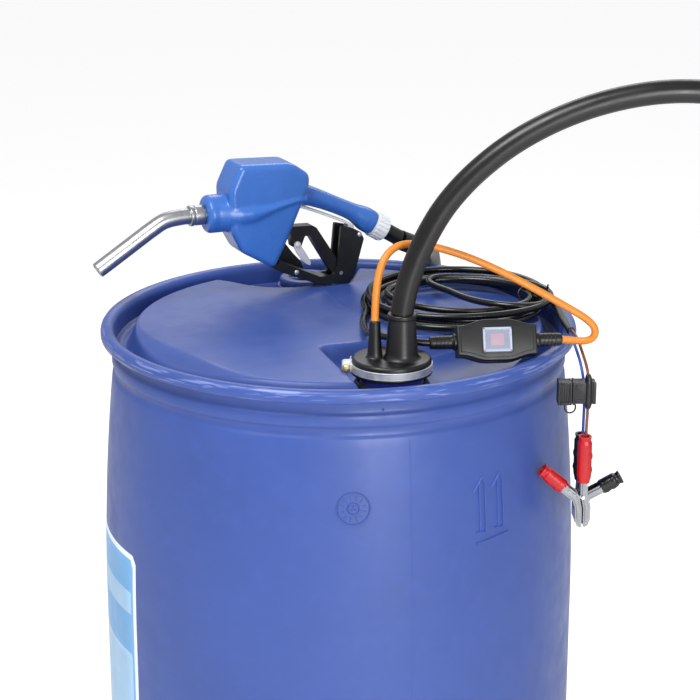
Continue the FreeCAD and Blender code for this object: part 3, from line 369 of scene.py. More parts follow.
def rounded_profile(corners, steps=4):
    """A closed profile with its corners rounded; each corner is (x, y) or (x, y, rounding)."""
    made = []
    for index, corner in enumerate(corners):
        here = Vector(corner[:2])
        size = corner[2] if len(corner) > 2 else 0
        if size <= 0:
            made.append(here)
            continue
        before = Vector(corners[index - 1][:2]) - here
        after = Vector(corners[(index + 1) % len(corners)][:2]) - here
        reach = min(size, before.length * 0.45, after.length * 0.45)
        start = here + before.normalized() * reach
        stop = here + after.normalized() * reach
        for step in range(steps + 1):
            share = step / steps
            made.append(start * (1 - share) ** 2 + here * (2 * share * (1 - share)) + stop * share ** 2)
    return made


def axes_along(direction):
    """A rotation matrix whose Z lies along the direction."""
    z = Vector(direction).normalized()
    hint = Vector((0, 1, 0) if abs(z.z) > 0.99 else (0, 0, 1))
    x = hint.cross(z).normalized()
    return Matrix((x, z.cross(x), z)).transposed()


def turned_part(corners, at, direction=(0, 0, 1), columns=48, steps=3):
    """Points and faces of a closed turned body from (radius, height, rounding) in millimetres."""
    axes = axes_along(direction)
    around = circle(columns)
    profile = rounded_profile(corners, steps)
    points = [
        Vector(at) + axes @ (Vector((radius * x, radius * y, height)) / 1000)
        for radius, height in profile for x, y in around
    ]
    return points, grid_faces(len(profile), columns, closed_rows=True)


def turned(name, corners, at, finish, columns=72):
    """A closed turned piece that stands upright."""
    return make_piece(name, *turned_part(corners, at, columns=columns, steps=4), finish)


# ---- drum

BUNG = Vector((59.5, -191))
REAR_BUNG = Vector((-42, 207.5))
PLATEAU = 932
CHANNEL = 904
POCKET_FLOOR = 905
HEAD_UNDERSIDE = 898.5
HEAD_EDGE = 270.6
BUNG_HOLE = 32
REAR_POCKET = [
    (-179, 200), (-139, 179), (-117, 162), (-94, 151), (-60, 149), (-10, 160), (15, 172),
    (34, 290), (-60, 310), (-200, 250),
]


def depth_inside(x, y, outline):
    """How far inside a clockwise outline a point lies; negative outside."""
    nearest = 1e9
    inside = False
    for index in range(len(outline)):
        ax, ay = outline[index - 1]
        bx, by = outline[index]
        dx, dy = bx - ax, by - ay
        share = min(1, max(0, ((x - ax) * dx + (y - ay) * dy) / (dx * dx + dy * dy)))
        nearest = min(nearest, math.hypot(x - ax - dx * share, y - ay - dy * share))
        if (ay > y) != (by > y) and x < ax + dx * (y - ay) / dy:
            inside = not inside
    return nearest if inside else -nearest


def head_height(x, y):
    """Height of the drum's head at a point, all in millimetres."""
    radius = math.hypot(x, y)
    bearing = math.degrees(math.atan2(y, x)) % 360
    slope = math.exp(-((bearing - 218) / 24) ** 2)
    brow = 243 - 28 * slope
    top = PLATEAU - 0.4 * (radius / 243) ** 2
    top -= 11 * slope * ease((radius - brow) / (250 - brow))
    top -= 0.5 * math.exp(-((radius - 150) / 50) ** 2) * math.sin(math.radians(bearing * 3))
    wall = ease((radius - 243) / 14)
    height = top + (CHANNEL - top) * wall
    outward = (59.5 * x - 191 * y) / 200.05
    across = (191 * x + 59.5 * y) / 200.05
    left = ease((across + 57) / 15)
    back = ease((outward - 94) / 13)
    right = ease((across - 62) / 158) * 0.35 + 0.65 * min(1, max(0, (across - 62) / 158))
    floor = POCKET_FLOOR + (PLATEAU - POCKET_FLOOR) * right
    sunk = left * back
    pocket = top + (floor - top) * sunk
    rear = ease((depth_inside(x, y, REAR_POCKET) + 2) / 12) if y > 120 and x < 70 else 0
    hollow = top + (POCKET_FLOOR - top) * rear
    height = min(height, pocket, hollow)
    away = abs((x + 28) * 190 + (y - 166) * 60) / 199.2
    if away < 1.6 and -95 < y < 190:
        height += 0.45 * (1 - away / 1.6)
    if radius > 262:
        height += 5 * ease((radius - 262) / 9) ** 2
    return height


def drum_radius(z):
    """Outer radius of the drum's side, which narrows above and below its straight middle."""
    if 345 <= z <= 590:
        return 290
    share = ((z - 55) if z < 345 else (880 - z)) / 290
    return min(290, 274 + 16 * share + 4 * 4.05 * share * (1 - share))


def level_ring(radius, height, columns):
    """A level ring of points about the drum's axis, from millimetres."""
    return [(radius * x / 1000, radius * y / 1000, height / 1000) for x, y in circle(columns)]


def drum_head():
    columns = 600
    around = circle(columns)
    radii = [6 * step for step in range(1, 15)]
    radii += [84 + 2.6 * step for step in range(1, 59)]
    radii += [236 + 1.5 * step for step in range(23)] + [HEAD_EDGE]
    points = [(0, 0, head_height(0, 0) / 1000)]
    for radius in radii:
        for across, deep in around:
            x, y = radius * across, radius * deep
            points.append((x / 1000, y / 1000, head_height(x, y) / 1000))
    for radius in (HEAD_EDGE, 200, 120, 40):
        points += level_ring(radius, HEAD_UNDERSIDE, columns)
    points.append((0, 0, HEAD_UNDERSIDE / 1000))
    rings = len(radii) + 4
    faces = [tuple(number + 1 for number in face) for face in grid_faces(rings, columns)]
    last = len(points) - 1
    first_of_last = 1 + (rings - 1) * columns
    for column in range(columns):
        beside = (column + 1) % columns
        faces.append((0, 1 + beside, 1 + column))
        faces.append((last, first_of_last + column, first_of_last + beside))
    kept = []
    for face in faces:
        middle = sum((Vector(points[number][:2]) for number in face), Vector((0, 0))) * (1000 / len(face))
        if all((middle - centre).length > BUNG_HOLE for centre in (BUNG, REAR_BUNG)):
            kept.append(face)
    return make_piece("drum_head", points, kept, "drum_plastic", smooth_angle=60)


def drum_side():
    outside = [
        (270, 903), (270, 925), (270.6, 929), (272.3, 932), (274.6, 934), (277.2, 934.9), (280, 935),
        (282.6, 934.6), (284.8, 933.2), (286.4, 930.8), (287, 928), (287, 924), (286.6, 921.8), (285, 920.4),
        (282, 919.8), (276.5, 919.2), (273.2, 918.3), (271.6, 916.5), (271, 913.5), (271, 907.5),
        (271.6, 904.8), (273.2, 903.2), (274.3, 901.5), (274.6, 898), (274.6, 892), (274.1, 890),
        (272.2, 888.4), (271.5, 886), (271.5, 880.5), (272.4, 878), (273.9, 876.2), (274.6, 873.8),
    ]
    heights = [874 - step * (874 - 590) / 28 for step in range(1, 29)] + [560, 470, 380]
    heights += [345 - step * 289 / 28 for step in range(29)]
    outside += [(drum_radius(z), z) for z in heights]
    outside += [
        (274, 50), (273, 44), (273, 22), (274, 19.5), (276.5, 18), (283, 15.8), (286, 14), (287, 11.5),
        (287, 7), (285.5, 3.5), (281.5, 0.8), (277, 0), (269, 0), (265.5, 1.5), (263, 5), (259, 11),
        (255, 12), (120, 12), (60, 12.4), (0.5, 12.4),
    ]
    inside = [
        (0.5, 16), (120, 16), (255, 16), (266, 20), (269, 30), (270, 60), (278, 160), (285, 330), (286, 470),
        (285.5, 600), (278, 780), (270, 874), (268, 890),
    ]
    profile = outside + inside
    columns = 288
    points = []
    for radius, z in profile:
        points += level_ring(radius, z, columns)
    faces = grid_faces(len(profile), columns, closed_rows=True)
    return make_piece("drum_side", points, faces, "drum_plastic", smooth_angle=50)


def on_side(bearing, z, lift):
    """A point on the drum's side; the bearing is in degrees and the lift in millimetres."""
    radius = drum_radius(z) + lift
    angle = math.radians(bearing)
    return Vector((radius * math.cos(angle), radius * math.sin(angle), z)) / 1000


def side_scale(z):
    """Millimetres along the drum's side for one degree of bearing."""
    return math.radians(1) * drum_radius(z)


def raised_strip(path, width, height=1.9, closed=False):
    """A low rounded ridge moulded on the drum's side, along (bearing, height) points."""
    section = [(-0.5, -0.6), (-0.42, 0.35), (-0.22, 0.9), (0, 1.0), (0.22, 0.9), (0.42, 0.35), (0.5, -0.6)]
    wide, count = len(section), len(path)
    points = []
    for index, (bearing, z) in enumerate(path):
        before = path[index - 1] if index or closed else path[0]
        after = path[(index + 1) % count] if index + 1 < count or closed else path[-1]
        scale = side_scale(z)
        run = Vector(((after[0] - before[0]) * scale, after[1] - before[1])).normalized()
        side = Vector((-run.y, run.x))
        for across, up in section:
            shift = side * (across * width)
            points.append(on_side(bearing + shift.x / scale, z + shift.y, up * height))
    faces = grid_faces(count, wide, closed_rows=closed)
    if not closed:
        faces += [tuple(range(wide)), tuple(range((count - 1) * wide, count * wide))]
    return points, faces


def merged(name, parts, finish, smooth_angle=40, body="root"):
    """Several point and face lists as one piece."""
    points, faces = [], []
    for part_points, part_faces in parts:
        start = len(points)
        points += part_points
        faces += [tuple(number + start for number in face) for face in part_faces]
    return make_piece(name, points, faces, finish, body, smooth_angle)


def ray_path(bearing, z, angle, reaches):
    """Points on the drum's side, at some distances and one angle from a centre."""
    turn, scale = math.radians(angle), side_scale(z)
    return [(bearing + reach * math.cos(turn) / scale, z + reach * math.sin(turn)) for reach in reaches]


def ring_path(bearing, z, radius, steps=40):
    return [ray_path(bearing, z, 360 * step / steps, [radius])[0] for step in range(steps)]


def drum_marks():
    """Moulded marks: a round sign of plain rings and ticks, two upright arrows, the mould seam."""
    bearing, z = -86.8, 797.5
    sign = [
        raised_strip(ring_path(bearing, z, 18.4), 1.7, closed=True),
        raised_strip(ring_path(bearing, z, 6.6, 28), 1.5, 1.7, closed=True),
    ]
    for tick in range(12):
        sign.append(raised_strip(ray_path(bearing, z, 30 * tick + 15, (10.2, 12, 14.4)), 1.1, 0.9))
    for angle in (90, 210, 330):
        sign.append(raised_strip(ray_path(bearing, z, angle, (1.2, 3.4)), 1.5, 1.5))
    merged("round_mark", sign, "drum_plastic")
    shape = (
        ((-0.55, 810), (-0.55, 790), (-0.55, 752)), ((1.0, 806), (1.0, 790), (1.0, 750)),
        ((-2.3, 800), (-1.3, 806), (0.25, 815)), ((0.25, 815), (1.0, 806)),
        ((-1.6, 752), (-0.2, 751), (1.0, 750)),
    )
    lines = [
        [(middle + across, height) for across, height in line]
        for middle in (-52.7 - 2.75, -52.7 + 2.6) for line in shape
    ]
    lines.append([(-57.2 + 1.2 * step, 738.5 + 0.5 * step) for step in range(9)])
    merged("arrow_mark", [raised_strip(line, 1.8) for line in lines], "drum_plastic")
    merged("mould_seam", [
        raised_strip([(side, 872 - 14 * step) for step in range(58)], 1.3, 0.4) for side in (-73.5, 106.5)
    ], "drum_plastic")
    pip = ring_path(-79.7, 908, 1.2, 8)
    merged("moulding_pip", [raised_strip(pip, 1.6, 1.2, closed=True)], "drum_plastic")


def label_patch(name, corners, lift, finish, rounding=8):
    """A thin sheet stuck on the drum's side between two bearings and two heights."""
    (left, low), (right, high) = corners
    rows, steps = 30, 46
    points = []
    for layer in (lift, -0.4):
        for row in range(rows + 1):
            z = low + (high - low) * row / rows
            edge = min(z - low, high - z, rounding)
            trim = rounding - math.sqrt(max(0, rounding ** 2 - (rounding - edge) ** 2))
            trim /= side_scale(z)
            for column in range(steps + 1):
                bearing = (left + trim) + (right - left - 2 * trim) * column / steps
                points.append(on_side(bearing, z, layer))
    wide = steps + 1
    top = grid_faces(rows + 1, wide, closed_columns=False)
    half = (rows + 1) * wide
    faces = top + [tuple(number + half for number in reversed(face)) for face in top]
    rim = list(range(wide)) + [row * wide + steps for row in range(1, rows + 1)]
    rim += [rows * wide + column for column in range(steps - 1, -1, -1)]
    rim += [row * wide for row in range(rows - 1, 0, -1)]
    for index, here in enumerate(rim):
        faces.append((rim[index - 1], here, here + half, rim[index - 1] + half))
    return make_piece(name, points, faces, finish, smooth_angle=30)


def make_drum():
    head = drum_head()
    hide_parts("drum_shell")
    drum_side()
    x, y = BUNG / 1000
    # The neck takes the lighter copy of the drum plastic, painted light against the cap's shade.
    turned("front_neck", [
        (28.7, 897), (35, 897), (35, 922, 3), (38.6, 926, 2), (38.6, 938, 2), (28.7, 938, 1),
    ], (x, y, 0), "neck_plastic")
    turned("front_flange", [
        (34.8, 905.5), (43.6, 905.5, 1), (43.6, 910, 2), (40, 912.5, 2), (36.5, 917, 2), (34.8, 918),
    ], (x, y, 0), "drum_plastic")
    x, y = REAR_BUNG / 1000
    turned("rear_neck", [
        (28.7, 897), (35, 897), (35, 908, 1), (38.4, 910, 2), (38.4, 921, 1.5), (28.7, 921, 1),
    ], (x, y, 0), "drum_plastic")
    drum_marks()
    label_patch("label_border", ((-262, 400), (-145.8, 689)), 0.25, "label_white")
    label_patch("label_field", ((-260.6, 407), (-147.2, 682)), 0.35, "label_blue", rounding=5)
    label_patch("label_band", ((-259.6, 612), (-148.2, 640)), 0.45, "label_pale", rounding=2)
    label_patch("label_panel", ((-259.6, 420), (-148.2, 560)), 0.45, "label_pale", rounding=2)


# ---- shaping helpers


def inset(outline, distance):
    """The outline moved inwards along its corner bisectors; it runs counter-clockwise."""
    made = []
    for index, here in enumerate(outline):
        before = here - outline[index - 1]
        after = outline[(index + 1) % len(outline)] - here
        if before.length < 1e-6 or after.length < 1e-6:
            made.append(here)
            continue
        first = Vector((-before.y, before.x)).normalized()
        second = Vector((-after.y, after.x)).normalized()
        middle = (first + second).normalized()
        made.append(here + middle * distance / max(0.5, middle.dot(first)))
    return made


def anticlockwise(corners):
    area = sum(ax * by - bx * ay for (ax, ay), (bx, by) in zip([corners[-1]] + list(corners), corners))
    return list(corners) if area > 0 else list(reversed(corners))


class Frame:
    """A local frame: an origin in metres and three directions; local lengths are in millimetres."""

    def __init__(self, origin, x, y, z):
        self.origin = Vector(origin)
        self.axes = [Vector(axis).normalized() for axis in (x, y, z)]

    def way(self, x, y, z=0.0):
        return self.axes[0] * x + self.axes[1] * y + self.axes[2] * z

    def at(self, x, y, z=0.0):
        return self.origin + self.way(x, y, z) / 1000


# Seen from the front: rightwards, upwards and towards the viewer.
FACING = Frame((0, 0, 0), (1, 0, 0), (0, 0, 1), (0, -1, 0))


def plate(space, corners, low, high, edge, corner):
    """A plate between two heights of a frame, with rounded corners and rounded rims."""
    outline = rounded_profile([(x, y, corner) for x, y in anticlockwise(corners)])
    edge = min(edge, (high - low) * 0.45)
    layers = []
    for step in range(5):
        angle = math.pi / 2 * step / 4
        layers.append((edge * (1 - math.sin(angle)), low + edge * (1 - math.cos(angle))))
    layers += [(distance, low + high - height) for distance, height in reversed(layers)]
    points = [
        space.at(point.x, point.y, height)
        for distance, height in layers for point in inset(outline, distance)
    ]
    return points, capped_faces(len(layers), len(outline))


def block(space, across, upright, depth, edge, corner):
    """A plate with a rectangular outline, from its two limits each way."""
    (left, right), (low, high) = across, upright
    return plate(space, [(left, low), (right, low), (right, high), (left, high)], *depth, edge, corner)


def loft(path, sizes, up, power=2.0, columns=32, hollow=()):
    """A closed body swept along points, with an oval section whose half sizes are in millimetres.

    The hollow is a row of (depth, half width, half height) rings that lead back in at the far end.
    """
    up = Vector(up).normalized()
    rings = []
    for index, place in enumerate(path):
        way = (path[min(len(path) - 1, index + 1)] - path[max(0, index - 1)]).normalized()
        rings.append((place, way, *sizes[index]))
    rings += [(path[-1] - way * (depth / 1000), way, wide, high) for depth, wide, high in hollow]
    points = []
    for place, way, wide, high in rings:
        side = way.cross(up).normalized()
        rise = side.cross(way)
        for x, y in circle(columns):
            scale = (abs(x) ** power + abs(y) ** power) ** (-1 / power)
            points.append(place + (side * (x * scale * wide) + rise * (y * scale * high)) / 1000)
    return points, capped_faces(len(rings), columns)


def melted(name, parts, finish, body, voxel, rounds):
    """Overlapping solids joined into one skin whose edges flow together, as in a moulding."""
    rough = merged(name + "_rough", parts, finish, body=body)
    remesh = rough.modifiers.new("join", "REMESH")
    remesh.mode = "VOXEL"
    remesh.voxel_size = voxel / 1000
    smooth = rough.modifiers.new("flow", "SMOOTH")
    smooth.factor = 0.5
    smooth.iterations = rounds
    bpy.context.view_layer.update()
    skin = bpy.data.meshes.new_from_object(rough.evaluated_get(bpy.context.evaluated_depsgraph_get()))
    points = [rough.matrix_world @ vertex.co for vertex in skin.vertices]
    faces = [tuple(face.vertices) for face in skin.polygons]
    bpy.data.objects.remove(rough)
    return make_piece(name, points, faces, finish, body, smooth_angle=180)


def soften_node(name, width):
    """Round the sharp rims of a CAD part in its own place; the width is in millimetres."""
    bevel = nodes[name].modifiers.new("rims", "BEVEL")
    bevel.width = width / 1000
    bevel.segments = 3
    bevel.limit_method = "ANGLE"
    bevel.angle_limit = math.radians(38)
    bevel.harden_normals = False


# ---- cap and band

def make_cap():
    x, y = BUNG / 1000
    cup = turned_part([
        (0.3, 945.4), (30, 945.2, 2), (43, 945, 2), (45, 942.5, 2), (45, 931, 1), (46, 929.6, 1),
        (46, 927.4, 1), (44.5, 927, 1), (39.6, 927, 0.5), (39.6, 939), (0.3, 939),
    ], (x, y, 0), columns=96)
    hose_sleeve = turned_part([
        (13.05, 944), (24, 944.5), (20.4, 946, 3), (18.2, 950, 4), (16.6, 972, 3), (15.4, 990, 1),
        (15.4, 991.4, 0.5), (16.3, 992.2, 0.8), (16.3, 996, 0.9), (15.4, 997, 0.5), (13.05, 997),
    ], (0.0705, -0.196, 0), columns=64)
    cable_sleeve = turned_part([
        (4.35, 944), (12, 944.5), (9.6, 945.8, 2), (8.4, 949, 3), (7.1, 968, 2), (6.3, 984, 1), (6.3, 987, 1),
        (5.4, 988, 0.6), (4.35, 988),
    ], (0.0405, -0.193, 0), columns=40)
    cap = merged("rubber_boot", [cup, hose_sleeve, cable_sleeve], "cap_rubber")
    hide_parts("rubber_cap")
    turned("base_seal", [
        (38.7, 906, 1), (44.4, 906, 1.5), (44.6, 911, 2), (42.2, 915.5, 2), (39.4, 919, 1.5), (38.7, 919),
    ], (x, y, 0), "cap_rubber", columns=96)
    strap = turned_part([
        (45.15, 930.1), (46.2, 930.1, 0.5), (46.4, 930.9, 0.5), (46.2, 931.7, 0.5), (46.2, 937.4, 0.5),
        (46.4, 938.2, 0.5), (46.2, 939, 0.5), (45.15, 939),
    ], (x, y, 0), columns=120)
    left, front = BUNG.x - 45.1, -BUNG.y
    housing = plate(FACING, [
        (left - 11, 930.4), (left - 0.2, 930.4), (left - 0.2, 939.6), (left - 4, 940), (left - 11, 939.4),
    ], front - 8, front + 8, 0.8, 2.5)
    saddle = block(FACING, (left - 2, left + 1.4), (929.9, 939.4), (front - 11, front + 11), 0.5, 1)
    start = math.radians(172)
    tail = plate(Frame((0, 0, 0), (1, 0, 0), (0, 1, 0), (0, 0, 1)), [
        (BUNG.x + 46.4 * math.cos(start), BUNG.y + 46.4 * math.sin(start)),
        (BUNG.x + 47.4 * math.cos(start), BUNG.y + 47.4 * math.sin(start)),
        (left - 1.2, -176), (left + 0.2, -168), (left - 0.8, -168), (left - 2.2, -176.4),
    ], 930.6, 938.6, 0.2, 0)
    band_piece = merged("band_clamp_strip", [strap, housing, saddle, tail], "band_steel")
    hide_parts("band_clamp")
    screw_at, screw_way = ((left - 6.4) / 1000, -0.206, 0.9345), (0, 1, 0)
    head = turned_part([
        (0.2, -0.4), (2.2, -0.4, 0.4), (2.6, 0.4, 0.3), (4.2, 0.4, 0.6), (4.9, 1.2, 0.5), (4.9, 4.4, 0.5),
        (4.4, 5, 0.4), (3, 5), (3, 24), (0.2, 24),
    ], screw_at, screw_way, 6)
    shank = turned_part([(0.2, 4.6), (3, 4.6), (3, 24, 0.6), (0.2, 24)], screw_at, screw_way, 24)
    screw = merged("worm_screw", [head, shank], "worm_brass", body="band_screw", smooth_angle=30)
    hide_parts("clamp_screw")


def make_rear_plug():
    x, y = REAR_BUNG / 1000
    top = 921
    parts = [turned_part([
        (21, top + 0.2), (33, top + 0.2, 0.6), (34.8, top + 2.4, 1), (34.8, top + 7.6, 1), (33, top + 9.8, 1),
        (23.5, top + 10, 1), (21, top + 6, 1),
    ], (x, y, 0), columns=96), turned_part([
        (0.3, top - 15.5), (28, top - 15.5, 0.5), (28, top + 0.6), (21.4, top + 4), (21, top - 11),
        (0.3, top - 11.5),
    ], (x, y, 0), columns=72)]
    space = Frame((x, y, 0), (1, 0, 0), (0, 1, 0), (0, 0, 1))
    parts.append(block(space, (-21.2, 21.2), (-3, 3), (top - 12, top + 7.4), 0.8, 1))
    parts.append(block(space, (-3, 3), (-21.2, 21.2), (top - 12, top + 3), 0.8, 1))
    ridge = [(0.1, top + 1.4), (0.9, top + 1.6, 0.3), (0.9, top + 8, 0.3), (0.1, top + 8.4)]
    for across, deep in circle(24):
        spot = (x + 34.4 * across / 1000, y + 34.4 * deep / 1000, 0)
        parts.append(turned_part(ridge, spot, columns=8))
    plug = merged("bung_plug", parts, "bung_plastic", body="rear_bung")
    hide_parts("rear_bung_plug")


# ---- switch, fuse holder and clamps

UPRIGHT = Vector((0, 0, 1))
SWITCH_ALONG = Vector((0.9962, 0.0872, 0)).normalized()
SWITCH_TILT = math.radians(25)
SWITCH_FRONT = SWITCH_ALONG.cross(UPRIGHT)
SWITCH_UP = UPRIGHT * math.cos(SWITCH_TILT) - SWITCH_FRONT * math.sin(SWITCH_TILT)
SWITCH_OUT = SWITCH_ALONG.cross(SWITCH_UP)
SWITCH = Frame((0.179, -0.1513, 0.9507), SWITCH_ALONG, SWITCH_UP, SWITCH_OUT)


def box_outline(shrink=0.0):
    """The switch box's face: square ends and a belly that swells above and below."""
    upper = []
    for step in range(25):
        x = -46 + 92 * step / 24
        upper.append((x, 17.4 + 6.8 * ease((42 - abs(x)) / 30)))
    outline = [(x, y) for x, y in upper] + [(x, -y) for x, y in reversed(upper)]
    return [(x * (46 - shrink) / 46, y - math.copysign(shrink, y)) for x, y in outline]


def make_switch():
    base = merged("switch_back_shell", [
        plate(SWITCH, box_outline(), -13, -0.5, 3.2, 0),
        plate(SWITCH, box_outline(1.2), -2, 2, 0.2, 0),
    ], "black_plastic", smooth_angle=35)
    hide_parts("switch_base")
    cover = merged("switch_front_shell", [
        plate(SWITCH, box_outline(), 0.3, 12.2, 2.4, 0),
        plate(SWITCH, box_outline(4.2), 10, 13, 0.7, 0),
        block(SWITCH, (-18, 18), (-15.5, 15.5), (12, 13.5), 0.4, 2),
    ], "black_plastic", smooth_angle=35)
    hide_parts("switch_cover", "switch_module")
    rim = [block(SWITCH, across, upright, (13.2, 15.6), 0.6, 0.8) for across, upright in (
        ((-16.5, 16.5), (11.2, 14)), ((-16.5, 16.5), (-14, -11.2)),
        ((13.7, 16.5), (-14, 14)), ((-16.5, -13.7), (-14, 14)),
    )]
    frame_piece = merged("window_rim", rim, "window_frame", smooth_angle=35)
    pane = merged("window_pane", [
        block(SWITCH, (-14.5, 14.5), (-12.2, 12.2), (15.5, 16.5), 0.45, 1.5),
    ], "clear_plastic")
    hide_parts("switch_window")
    rock = merged("rocker_key", [
        block(SWITCH, (-8, 8), (-7, 7), (11, 13.6), 0.5, 1.2),
        block(SWITCH, (-8, 8), (4.3, 6.5), (12.6, 14), 0.3, 0.5),
    ], "red_plastic", body="switch_rocker")
    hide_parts("rocker")
    sleeve = [
        (4.4, -1), (9.6, -1), (9.6, 2.4, 0.8), (8.5, 3.4, 0.6), (7.9, 5, 0.8), (7.5, 27, 0.6), (7.2, 29.6, 1),
        (6.2, 30.2, 0.4), (4.4, 30.2),
    ]
    sleeves = []
    for side in (-1, 1):
        start, way = SWITCH.at(side * 46, 0), SWITCH_ALONG * side
        sleeves.append(turned_part(sleeve, start, way, 40))
        for low in (8 + 4.4 * number for number in range(4)):
            bead = [(7, low), (8.05, low + 0.4, 0.5), (8.05, low + 2, 0.5), (7, low + 2.4)]
            sleeves.append(turned_part(bead, start, way, 40))
    relief = merged("cable_sleeves", sleeves, "cap_rubber")
    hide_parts("strain_reliefs")
    return [base, cover, frame_piece, pane, rock, relief]


FUSE = Frame((0.0, -0.17, 0.0), (1, 0, 0), (0, 0, 1), (0, -1, 0))


def make_fuse_holder():
    parts = [block(FUSE, *sizes) for sizes in (
        ((266, 292), (884, 909.6), (-8, 9), 0.9, 1.2),
        ((257, 267.4), (885.4, 908.6), (-7, 7), 0.6, 1),
        ((265.6, 268), (883.2, 910.4), (-8.4, 10.2), 0.6, 0.8),
        ((288.6, 292.4), (884, 910), (7, 10), 0.6, 1),
        ((269.4, 276.6), (886, 889), (7, 9.8), 0.4, 0.5),
        ((269.4, 276.6), (905, 908), (7, 9.8), 0.4, 0.5),
    )]
    parts.append(turned_part([
        (1.65, 878), (2.6, 878, 0.4), (3.7, 881.6, 1), (4.4, 884, 1), (4.4, 909, 1), (3.7, 912, 1),
        (2.5, 917, 0.5), (1.65, 917),
    ], (0.284, -0.1765, 0), columns=24))
    for bush in (
        [(1.65, 878), (2.8, 878, 0.4), (3.9, 882.2), (3.9, 883), (1.65, 883)],
        [(1.65, 910), (3.9, 910), (3.9, 911.6), (2.8, 916.4, 0.4), (1.65, 916.4)],
    ):
        parts.append(turned_part(bush, (0.284, -0.17, 0), columns=24))
    loop = []
    for step in range(25):
        angle = math.radians(110 + 320 * step / 24)
        loop.append(Vector((0.2642 + 0.0062 * math.cos(angle), -0.17, 0.8774 + 0.0068 * math.sin(angle))))
    parts.append(loft(loop, [(1, 1)] * 25, (0, 1, 0), columns=10))
    body = merged("fuse_case", parts, "black_plastic", smooth_angle=35)
    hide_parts("fuse_body")
    lid_parts = [block(FUSE, *sizes) for sizes in (
        ((249.2, 265), (883, 909.6), (-8, 8.6), 0.9, 1.2),
        ((249, 252), (882.8, 909.8), (-8.2, 10.2), 0.8, 0.9),
        ((262.4, 265), (882.8, 909.8), (-8.2, 10.2), 0.7, 0.9),
        ((252, 263), (906.6, 909.8), (7, 10), 0.5, 0.6),
        ((252, 263), (882.8, 886), (7, 10), 0.5, 0.6),
    )]
    for left in (253.6 + 2.6 * number for number in range(4)):
        lid_parts.append(block(FUSE, (left, left + 1.2), (886, 907), (8, 9.4), 0.3, 0.3))
    lid = merged("fuse_lid_case", lid_parts, "black_plastic", body="fuse_lid", smooth_angle=35)
    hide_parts("fuse_cap")
    return [body, lid]


# Each clamp: its frame at the pivot, which side its lever leans to, by how many degrees, and the
# lever's length in millimetres.
CLAMPS = {
    "red": (Frame((0.281, -0.177, 0.772), (1, 0, 0), (0, 0, 1), (0, -1, 0)), -1, 50, 58),
    "black": (Frame((0.2815, -0.154, 0.767), (1, 0, 0), (0, 0, 1), (0, -1, 0)), 1, 60, 51),
}


def grip_tube(space, start, way, length, side):
    """A soft grip: collar at the open tip, a shoulder, finger ribs on one side, a tapered foot."""
    steps = 40
    path, sizes = [], []
    across = Vector((way.y, -way.x)) * side
    for step in range(steps + 1):
        share = step / steps
        tip = length - length * share
        if tip < 8:
            wide, deep = 8.2 - 1.5 * ease((8 - tip) / 3), 8.2 - 1.3 * ease((8 - tip) / 3)
        else:
            wide, deep = 6.6 + 1.6 * ease(share / 0.16), 7.0 + 1.2 * ease(share / 0.16)
        collar = 0.7 * ease(3.4 - tip)
        rib = 0.0
        if 0.2 < share < 0.8:
            rib = max(0.0, math.sin((share - 0.2) / 0.6 * math.pi * 4)) ** 3 * 1.1
        spot = start + way * (length * share) + across * rib * 0.5
        path.append(space.at(spot.x, spot.y))
        sizes.append((wide + collar + rib * 0.5, deep + collar))
    wide, deep = sizes[-1]
    hollow = [(depth, wide - narrow, deep - narrow) for depth, narrow in ((0.0, 2.0), (0.4, 2.8), (6.0, 3.2))]
    return loft(path, sizes, space.way(0, 0, 1), 2.6, hollow=hollow)


def mirrored(corners, side):
    return [(x * side, y) for x, y in corners]


def teeth(space, side, first):
    """Four gripping teeth inside a jaw, from the height of the lowest one up."""
    made = []
    for low in (first + 4.2 * number for number in range(4)):
        tooth = mirrored([(-2.6, low), (-0.3, low + 0.9), (-0.3, low + 1.9), (-2.6, low + 2.8)], side)
        made.append(plate(space, tooth, -5.2, 5.2, 0.2, 0.2))
    return made


def arm_parts(space, side):
    """The standing arm: a channel of folded sheet that narrows to a rounded jaw."""
    face = mirrored([
        (-5, 66), (-5, 18), (-5.6, 4), (-9.4, -12), (-9, -28), (-6.4, -35), (-3.2, -37), (-0.8, -36),
        (-0.7, -14), (3, 4), (3, 66),
    ], side)
    dish = mirrored([
        (-3, 60), (-3, 20), (-3.6, 5), (-7, -12), (-6.8, -26), (-4.6, -31), (-2.6, -30), (-2.6, -13), (1, 5),
        (1, 60),
    ], side)
    spine = mirrored([
        (-5, 66), (-5, 18), (-5.6, 4), (-9.4, -12), (-9, -28), (-7.6, -28), (-8, -12), (-4.4, 4), (-3.8, 18),
        (-3.8, 66),
    ], side)
    return [
        plate(space, face, 4.6, 5.6, 0.4, 0.8), plate(space, face, -5.6, -4.6, 0.4, 0.8),
        plate(space, dish, 5.2, 6.5, 0.6, 1), plate(space, spine, -5.4, 5.4, 0.3, 0.4),
    ] + teeth(space, side, -34)


